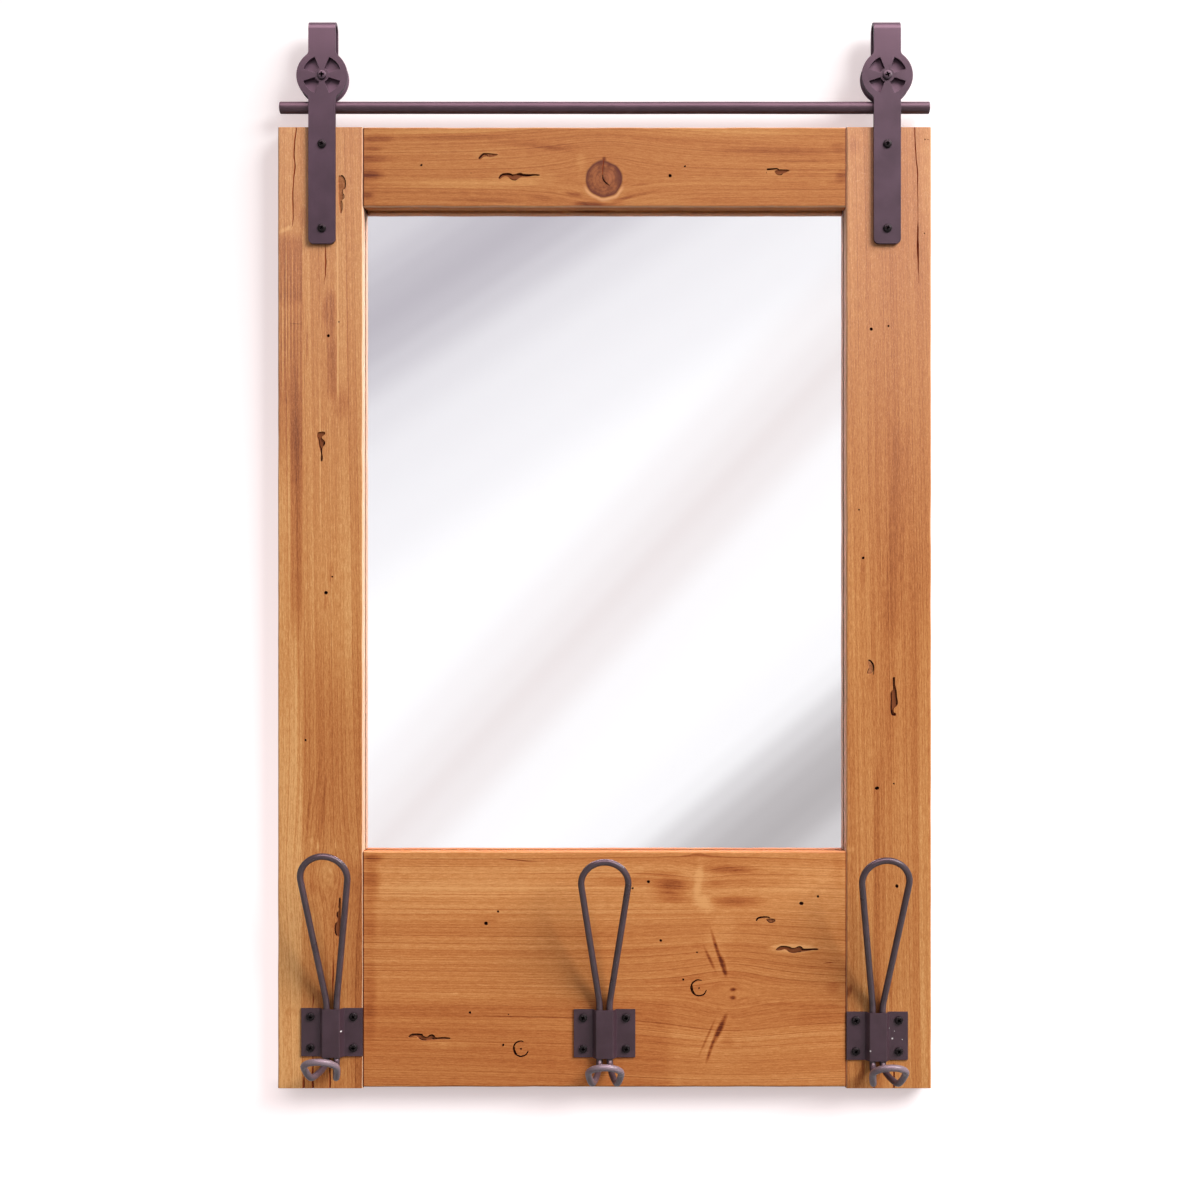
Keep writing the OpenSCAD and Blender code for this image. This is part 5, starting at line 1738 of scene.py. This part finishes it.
@dataclass
class Fasteners(Assembly):
    """Pan screws, axle bolts, nuts, washers and the small screws of the back."""

    pan_r: float = 4.0 * MM
    pan_h: float = 2.4 * MM
    shank_r: float = 1.75 * MM
    shank_l: float = 15 * MM
    bolt_head_r: float = 4.2 * MM
    bolt_r: float = 2.5 * MM
    steps: int = 36
    turns: random.Random = field(default_factory=lambda: random.Random(5))

    def build(self) -> None:
        """Makes the screws and axle bolts and dresses the other fasteners."""
        pan = self.pan_screw()
        for node in ("strap_screws", "left_hook_screws", "middle_hook_screws", "right_hook_screws"):
            self.set_screws(pan, node)
        bpy.data.objects.remove(pan)
        bolt = self.bolt()
        for side in ("left", "right"):
            low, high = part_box(f"{side}_axle_bolt")
            place = Vector(((low.x + high.x) / 2, low.y + self.pan_h, (low.z + high.z) / 2))
            twin = copied(bolt, f"{side}_axle", facing_front(place, self.turns.uniform(0, 90)))
            smooth(twin)
            hand_over(twin, f"{side}_axle_bolt")
        bpy.data.objects.remove(bolt)
        for node, finish in (("axle_nuts", self.paints.black), ("wheel_washers", self.paints.nylon),
                ("backing_screws", self.paints.zinc), ("keyhole_plate_screws", self.paints.zinc)):
            dress_node(node, finish)

    def dome(self, radius: float, flat: float) -> list[Point]:
        """Profile of a pan head from its crown to its foot.

        Args:
            radius: Radius of the head.
            flat: How flat its crown is: 1 is round, lower is flatter.

        Returns:
            Points as radius and height.
        """
        crown = [(radius * sin(a) ** 0.9, self.pan_h * (0.3 + 0.7 * cos(a) ** flat))
            for a in (radians(90 * k / 8) for k in range(9))]
        return crown + [(radius, 0.12 * MM), (radius - 0.12 * MM, 0)]

    def cross(self, span: float, depth: float) -> Object:
        """Makes the cutter of a cross recess that narrows downwards, with its rim on z = 0.

        Args:
            span: Width across two arms.
            depth: Depth of the recess.

        Returns:
            The cutter.
        """
        arms = []
        for turn in (0, 1):
            arm = block("arm", (-span / 2, -span * 0.14, -depth), (span / 2, span * 0.14, 1 * MM))
            for vertex in arm.data.vertices:
                if vertex.co.z < 0:
                    vertex.co.x *= 0.55
                    vertex.co.y *= 0.6
            arm.data.transform(Matrix.Rotation(turn * pi / 2, 4, "Z"))
            arms.append(arm)
        return join(arms, "cross")

    def turned(self, name: str, finish: Material, head: tuple[float, float], foot: Sequence[Point],
            recess: tuple[float, float]) -> Object:
        """Turns a screw or bolt that stands with its head's foot on z = 0, and cuts its cross recess.

        Args:
            name: Name of the piece.
            finish: Its finish.
            head: Radius and flatness of its head.
            foot: Profile of its shank under the head.
            recess: Span and depth of the recess.

        Returns:
            The screw or bolt.
        """
        obj = lathe(name, [(0, self.pan_h), *self.dome(*head)[1:], *foot], self.steps)
        obj.data.materials.append(finish)
        cross = self.cross(*recess)
        cross.data.transform(Matrix.Translation((0, 0, self.pan_h)))
        # The recess gets the near-black finish: painted shade.
        cut(obj, cross, self.paints.recess)
        return obj

    def pan_screw(self) -> Object:
        """Turns a pointed pan screw."""
        foot = ((self.shank_r, -0.02 * MM), (self.shank_r, -self.shank_l + self.shank_r * 2.4), (0, -self.shank_l))
        return self.turned("pan_screw", self.paints.black, (self.pan_r, 0.7), foot,
            (self.pan_r * 1.2, self.pan_h * 0.62))

    def bolt(self) -> Object:
        """Turns an axle bolt with a blunt end."""
        low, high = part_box("left_axle_bolt")
        length, soft = high.y - low.y - self.pan_h, 0.4 * MM
        foot = ((self.bolt_r, -0.02 * MM), (self.bolt_r, -length + soft), (self.bolt_r - soft, -length), (0, -length))
        return self.turned("axle_bolt", self.paints.steel, (self.bolt_head_r, 0.3), foot,
            (self.bolt_head_r * 1.4, self.pan_h * 0.75))

    def set_screws(self, master: Object, node: str) -> None:
        """Sets four copies of a screw where a node has its four screws.

        Args:
            master: The screw to copy.
            node: The node with four screws.
        """
        low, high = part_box(node)
        name = node.removesuffix("s")
        count = 0
        for x in (low.x + self.pan_r, high.x - self.pan_r):
            for z in (low.z + self.pan_r, high.z - self.pan_r):
                count += 1
                place = Vector((x, low.y + self.pan_h, z))
                twin = copied(master, f"{name}_{count}", facing_front(place, self.turns.uniform(0, 90)))
                smooth(twin)
                hand_over(twin, node)


# ---- hooks


@dataclass
class WireHook(Assembly):
    """A hook: a sheet bracket that clamps one closed loop of bent wire to the boards."""

    name: str
    drop: float
    rise: float
    flecks: tuple[tuple[float, float, float], ...] = ()
    mirrored: bool = True
    wire_r: float = 3.0
    seat: float = 0.05
    leg_x: float = 4.7
    half_h: float = 22.5
    loop_r: float = 21.4
    lean: float = 18.2
    reach: float = 71.85
    prong_w: float = 29.4
    slope: float = 34.5
    low_reach: float = 39.0
    low_x: float = 10.5
    prong_rise: float = 22.4
    knee: float = 6.0
    exit_pull: float = 10.0
    low_pull: float = 18.0
    rise_pull: float = 8.0
    sheet_t: float = 1.5
    channel_h: float = 6.1
    half_w: float = 28.75
    base_half: float = 11.5
    front_half: float = 8.0

    def __post_init__(self) -> None:
        """Reads the hook's place from the frame."""
        low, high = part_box(f"{self.name}_hook_bracket")
        self.centre = Vector(((low.x + high.x) / 2, FACE_Y, (low.z + high.z) / 2))

    def placed(self, x: float, forward: float, up: float) -> Vector:
        """Point given in millimetres sideways, forward and up from the bracket's centre."""
        return self.centre + Vector((x, -forward, up)) * MM

    def bezier(self, a: Vector, b: Vector, c: Vector, d: Vector, t: float) -> Vector:
        """Point at t on a cubic curve."""
        return a * (1 - t) ** 3 + 3 * b * t * (1 - t) ** 2 + 3 * c * t * t * (1 - t) + d * t ** 3

    def prong_side(self) -> list[Vector]:
        """Right side of the prong, from the bracket's lower edge to its widest point.

        Returns:
            Points sideways, forward and up.
        """
        slope = radians(self.slope)
        exit_point = Vector((self.leg_x, self.wire_r + self.seat, -self.half_h))
        low = Vector((self.low_x, self.low_reach, -self.drop))
        low_way = Vector((0.2, 1, 0)).normalized()
        wide = Vector((self.prong_w / 2, self.reach - self.prong_w / 2 * cos(slope),
            self.prong_rise - self.drop - self.prong_w / 2 * sin(slope)))
        wide_way = Vector((0, cos(slope), sin(slope)))
        first = [self.bezier(exit_point, exit_point - Vector((0, 0, self.exit_pull)), low - self.low_pull * low_way,
            low, i / 12) for i in range(12)]
        second = [self.bezier(low, low + self.rise_pull * low_way, wide - self.rise_pull * wide_way, wide, i / 6)
            for i in range(6)]
        self.widest = wide
        return first + second

    def prong_end(self) -> list[Vector]:
        """Half round of the prong from its left to its right.

        Returns:
            Points sideways, forward and up.
        """
        slope, half, wide = radians(self.slope), self.prong_w / 2, self.widest
        return [Vector((-half * cos(a), wide.y + half * sin(a) * cos(slope), wide.z + half * sin(a) * sin(slope)))
            for a in (pi * i / 16 for i in range(17))]

    def on_loop(self, x: float, v: float) -> Vector:
        """Point v up the plane of the leaning upper loop and x to the side."""
        lean = radians(self.lean)
        return Vector((x, self.wire_r + self.seat + v * sin(lean), self.half_h + self.knee + v * cos(lean)))

    def loop(self) -> list[Vector]:
        """Right leg, upper loop and left leg.

        Returns:
            Points sideways, forward and up.
        """
        centre_v = (self.rise - self.half_h - self.knee) / cos(radians(self.lean))
        far = hypot(self.leg_x, centre_v)
        splay = asin(self.loop_r / far) - atan(self.leg_x / centre_v)
        bend = self.on_loop(self.leg_x, 0)
        up = self.on_loop(self.leg_x + self.knee * sin(splay), self.knee * cos(splay))
        start = bend - Vector((0, 0, self.knee))
        leg = [self.bezier(start, (start + 2 * bend) / 3, (up + 2 * bend) / 3, up, i / 4) for i in range(5)]
        arc = [self.on_loop(self.loop_r * cos(a), centre_v + self.loop_r * sin(a))
            for a in (-splay + (pi + 2 * splay) * i / 24 for i in range(25))]
        return leg + arc + [Vector((-p.x, p.y, p.z)) for p in reversed(leg)]

    def wire(self) -> None:
        """Bends the wire."""
        side = self.prong_side()
        ahead = self.wire_r + self.seat
        path = [Vector((-self.leg_x, ahead, -0.5))]
        path += [Vector((-p.x, p.y, p.z)) for p in side] + self.prong_end() + list(reversed(side))
        path += self.loop() + [Vector((-self.leg_x, ahead, 0.5))]
        places = [self.placed(*p) for p in path]
        obj = tube(f"{self.name}_bent_wire", places, [self.wire_r * MM] * len(places), 5, 3)
        smooth(obj, 50)
        obj.visible_transmission = self.mirrored
        hand_over(obj, f"{self.name}_hook_wire", self.paints.wire)

    def bracket(self) -> None:
        """Bends the bracket: its cross-section is laid out with rounded bends and drawn up."""
        t, h = self.sheet_t, self.channel_h
        outer_h = h + t
        run = self.base_half - self.front_half
        skin = t * (hypot(h, run) - run) / h
        inner_front, inner_base = self.front_half - skin, self.base_half - skin
        corners = [(-self.half_w, 0), (-self.half_w, t), (-self.base_half, t), (-self.front_half, outer_h),
            (self.front_half, outer_h), (self.base_half, t), (self.half_w, t), (self.half_w, 0), (inner_base, 0),
            (inner_front, h), (-inner_front, h), (-inner_base, 0)]
        radii = [0.2, 0.3, 0.6, 1.3, 1.3, 0.6, 0.3, 0.2, 1.2, 0.4, 0.4, 1.2]
        outline = rounded(corners, radii, 4)
        places = [self.placed(x, y, -self.half_h) for x, y in outline]
        obj = plate(f"{self.name}_bent_bracket", places, Vector((0, 0, 2 * self.half_h * MM)))
        ease(obj, 0.25 * MM, 50)
        smooth(obj)
        finish = SteelFinish(base=(57, 38, 45), light=(66, 46, 55), rough=0.42, flecks=self.flecks)
        hand_over(obj, f"{self.name}_hook_bracket", finish.make(f"{self.name}_bracket_steel"))

    def build(self) -> None:
        """Makes the hook."""
        self.wire()
        self.bracket()


# ---- studio


@dataclass(frozen=True)
class Sheen:
    """A slanting band of greys in the mirror: greys at distances from a line through a pixel of the photograph."""

    pixel: Point
    across: Point
    greys: tuple[tuple[float, float], ...]
    drops: Colour
    reach: float = 500.0

    def colour(self, g: Graph, px: Value, py: Value) -> Wire:
        """Paints the band.

        Args:
            g: The card's graph.
            px: Sideways pixel that a point of the card shows up at.
            py: Its upright pixel.

        Returns:
            The band's colour.
        """
        (x, y), (cx, cy) = self.pixel, self.across
        away = px * cx + py * cy
        share = g.math("MULTIPLY_ADD", away, 1 / self.reach, 0.5 - (x * cx + y * cy) / self.reach, clamp=True)
        stops = [(0.5 + d / self.reach, tone(*(255 - (255 - grey) * drop for drop in self.drops))) for d,
            grey in self.greys]
        return g.ramp(share, stops, soft=True)


@dataclass
class Studio:
    """White wall, pale floor, lamps, camera and the cards that the mirror reflects."""

    eye: tuple[float, float, float] = (-0.0043, -1.420, -0.4662)
    lens: float = 44.87
    shift: float = 0.06
    floor_z: float = -1.45
    card_y: float = -2.5
    card_top: float = 0.95
    card_glow: float = 1.12
    strip_glow: float = 12.5
    sky: float = 0.4
    ground: float = 0.14
    key_power: float = 580.0
    key_size: float = 3.4
    key_way: tuple[float, float, float] = (1.5, -1.0, 1.3)
    key_far: float = 2.7
    centre_px: Point = (604.6, 672.0)
    sheens: tuple[Sheen, ...] = (Sheen((370, 330), (0.55, 0.835), ((-250, 236), (-84, 216), (-67, 213), (-40, 202),
        (-25, 195), (0, 190), (25, 198), (43, 209), (79, 229), (123, 239), (178, 244), (249, 255)), (1.0, 1.06, 0.96)),
        Sheen((615, 575), (0.727, 0.687), ((-70, 255), (-30, 247), (0, 241), (18, 236), (40, 240), (80, 252),
        (130, 255)), (0.95, 1.3, 1.38)), Sheen((780, 830), (0.64, 0.768), ((-160, 255), (-100, 250), (-83, 243),
        (-60, 217), (-40, 198), (-22, 186), (0, 180), (12, 184), (40, 207), (90, 240), (160, 255)),
        (0.97, 1.02, 1.02)))

    def build(self) -> None:
        """Sets up the whole studio."""
        self.camera()
        self.world()
        self.lamps()
        self.wall()
        self.floor()
        self.card()
        self.strip()

    def camera(self) -> None:
        """Places the camera square to the wall, as in the photograph."""
        data = bpy.data.cameras.new("camera")
        data.sensor_width = 36
        data.lens = self.lens
        data.shift_y = self.shift
        data.clip_start, data.clip_end = 0.05, 50
        camera = bpy.data.objects.new("camera", data)
        camera.location = self.eye
        camera.rotation_euler = (pi / 2, 0, 0)
        bpy.context.scene.collection.objects.link(camera)
        bpy.context.scene.camera = camera

    def world(self) -> None:
        """Lights the room softly, more from above than from below; the camera sees plain white."""
        g = Graph("room", "World")
        bpy.context.scene.world = g.owner
        level = g.add("MapRange", {"Value": g.math("MAXIMUM", g.ray("Camera"), g.ray("Transmission")),
            "To Min": g.fade(g.z, -0.35, 0.45, self.ground, self.sky), "To Max": 1}, "Result")
        g.shine(g.add("Background", {"Strength": level, "Color": (1, 1, 1, 1)}))

    def lamps(self) -> None:
        """Hangs the key lamp at the upper right, a weak fill at the left and one behind for the back."""
        middle = Vector((0, 0, -0.4))
        for name, place, aim, power, size, colour in (("key", middle + Vector(self.key_way) * self.key_far, middle,
                self.key_power, self.key_size, (1, 1, 1)), ("fill", Vector((-1.2, -0.5, -0.75)),
                Vector((-0.3, 0, -0.8)), 1.6, 0.6, (1, 0.97, 0.97)), ("rear", Vector((0, 3.2, -0.4)), middle, 62, 1.6,
                (1, 1, 1))):
            data = bpy.data.lights.new(name, "AREA")
            data.energy, data.size, data.color = power, size, colour
            lamp = bpy.data.objects.new(name, data)
            lamp.location = place
            lamp.rotation_euler = (aim - place).to_track_quat("-Z", "Y").to_euler()
            bpy.context.scene.collection.objects.link(lamp)

    def wall(self) -> None:
        """Hangs the white wall, which is seen from the front only."""
        wall = block("wall", (-3, 0.8 * MM, self.floor_z), (3, 1 * MM, 2.4))
        with edit_mode(wall, "FACE"):
            pick_faces(wall, lambda face: face.normal.y > -0.5)
            bpy.ops.mesh.delete(type="FACE")
        g = Graph("wall_glow_with_painted_shadow")
        # Painted shadow: the camera-only glow drops in a strip under the frame, and falls off towards the top as
        # painted shade; its pink tint colours the shadows.
        under = g.fade(g.z, -0.896, -0.857, 0, -0.34) * g.fade(g.z, -0.857, -0.852, 1, 0)
        under = under * g.fade(g.math("ABSOLUTE", g.x), 0.285, 0.325, 1, 0)
        level = g.fade(g.z, -0.8, 0.16, 0.82, 0.6) + under
        paint = g.add("BsdfDiffuse", {"Color": (0.56, 0.56, 0.56, 1)})
        glow = g.add("Emission", {"Color": (1, 0.85, 0.855, 1), "Strength": level * g.ray("Camera")})
        clear = g.math("MAXIMUM", g.add("NewGeometry", {}, "Backfacing"), g.ray("Shadow"))
        lit = g.add("AddShader", {0: paint, 1: glow})
        wall.data.materials.append(g.shine(g.add("MixShader", {0: clear, 1: lit, 2: g.add("BsdfTransparent", {})})))

    def floor(self) -> None:
        """Lays the pale floor."""
        clear_selection()
        bpy.ops.mesh.primitive_plane_add(size=8, location=(0, 0, self.floor_z))
        floor = settle(bpy.context.object, "floor")
        g = Graph("floor_paint")
        mottle = g.noise(g.place, 3, 2)
        floor.data.materials.append(g.surface(g.mix(mottle, tone(236, 234, 233), tone(242, 241, 240)), 0.8))
        floor.visible_diffuse = False

    def card(self) -> None:
        """Stands the shaded card that only the mirror and gloss see."""
        card = block("card", (-4, self.card_y - 1 * MM, self.floor_z), (4, self.card_y, self.card_top))
        with edit_mode(card, "FACE"):
            pick_faces(card, lambda face: face.normal.y < 0.5)
            bpy.ops.mesh.delete(type="FACE")
        g = Graph("card_glow")
        scale = self.lens / 36 * 1200 / (abs(self.eye[1]) + abs(self.card_y) - 8 * MM)
        px = g.x * scale + (self.centre_px[0] - self.eye[0] * scale)
        py = g.z * -scale + (self.centre_px[1] + self.eye[2] * scale)
        colour: Shade = (1, 1, 1, 1)
        for sheen in self.sheens:
            colour = g.mix(1, colour, sheen.colour(g, px, py), "MULTIPLY")
        self.glowing(card, g, colour, self.card_glow)

    def strip(self) -> None:
        """Hangs the bright strip over the object that only gloss sees."""
        clear_selection()
        bpy.ops.mesh.primitive_plane_add(size=1, location=(1, -1.7, 2.12), rotation=(radians(40), 0, 0))
        bpy.context.object.scale = (5, 2.1, 1)
        self.glowing(settle(bpy.context.object, "strip"), Graph("strip_glow"), (1, 0.68, 0.82, 1), self.strip_glow)

    def glowing(self, obj: Object, g: Graph, colour: Shade, strength: float) -> None:
        """Lets a card glow for gloss and glass alone.

        Args:
            obj: The card.
            g: Its material's graph.
            colour: Colour of the glow.
            strength: Strength of the glow.
        """
        obj.data.materials.append(g.shine(g.add("Emission", {"Strength": strength, "Color": colour})))
        obj.visible_camera = obj.visible_diffuse = obj.visible_shadow = False


# ---- assembly


def main() -> None:
    """Builds every sub-assembly in order."""
    logging.basicConfig(level=logging.INFO, format="%(name)s: %(message)s")
    clear_selection()
    scene = bpy.context.scene
    scene.view_settings.view_transform = "Standard"
    paints = Paintbox()
    PineFrame(paints).build()
    MirrorAndBack(paints).build()
    for side in ("left", "right"):
        HangerStrap(paints, side).build()
        GroovedWheel(paints, side).build()
    RailAndWelds(paints).build()
    Fasteners(paints).build()
    flecks = ((269, -808.9, 1), (247.5, -819.2, 0.9), (278.4, -809.8, 0.5), (266, -799, 0.5), (271, -802, 0.4))
    for hook in (WireHook(paints, "left", 32.1, 149.8, ((-245.8, -801.3, 0.9),)),
            WireHook(paints, "middle", 36.1, 145.4, mirrored=False), WireHook(paints, "right", 33.9, 149.5, flecks)):
        hook.build()
    Studio().build()


if __name__ == "__main__":
    main()
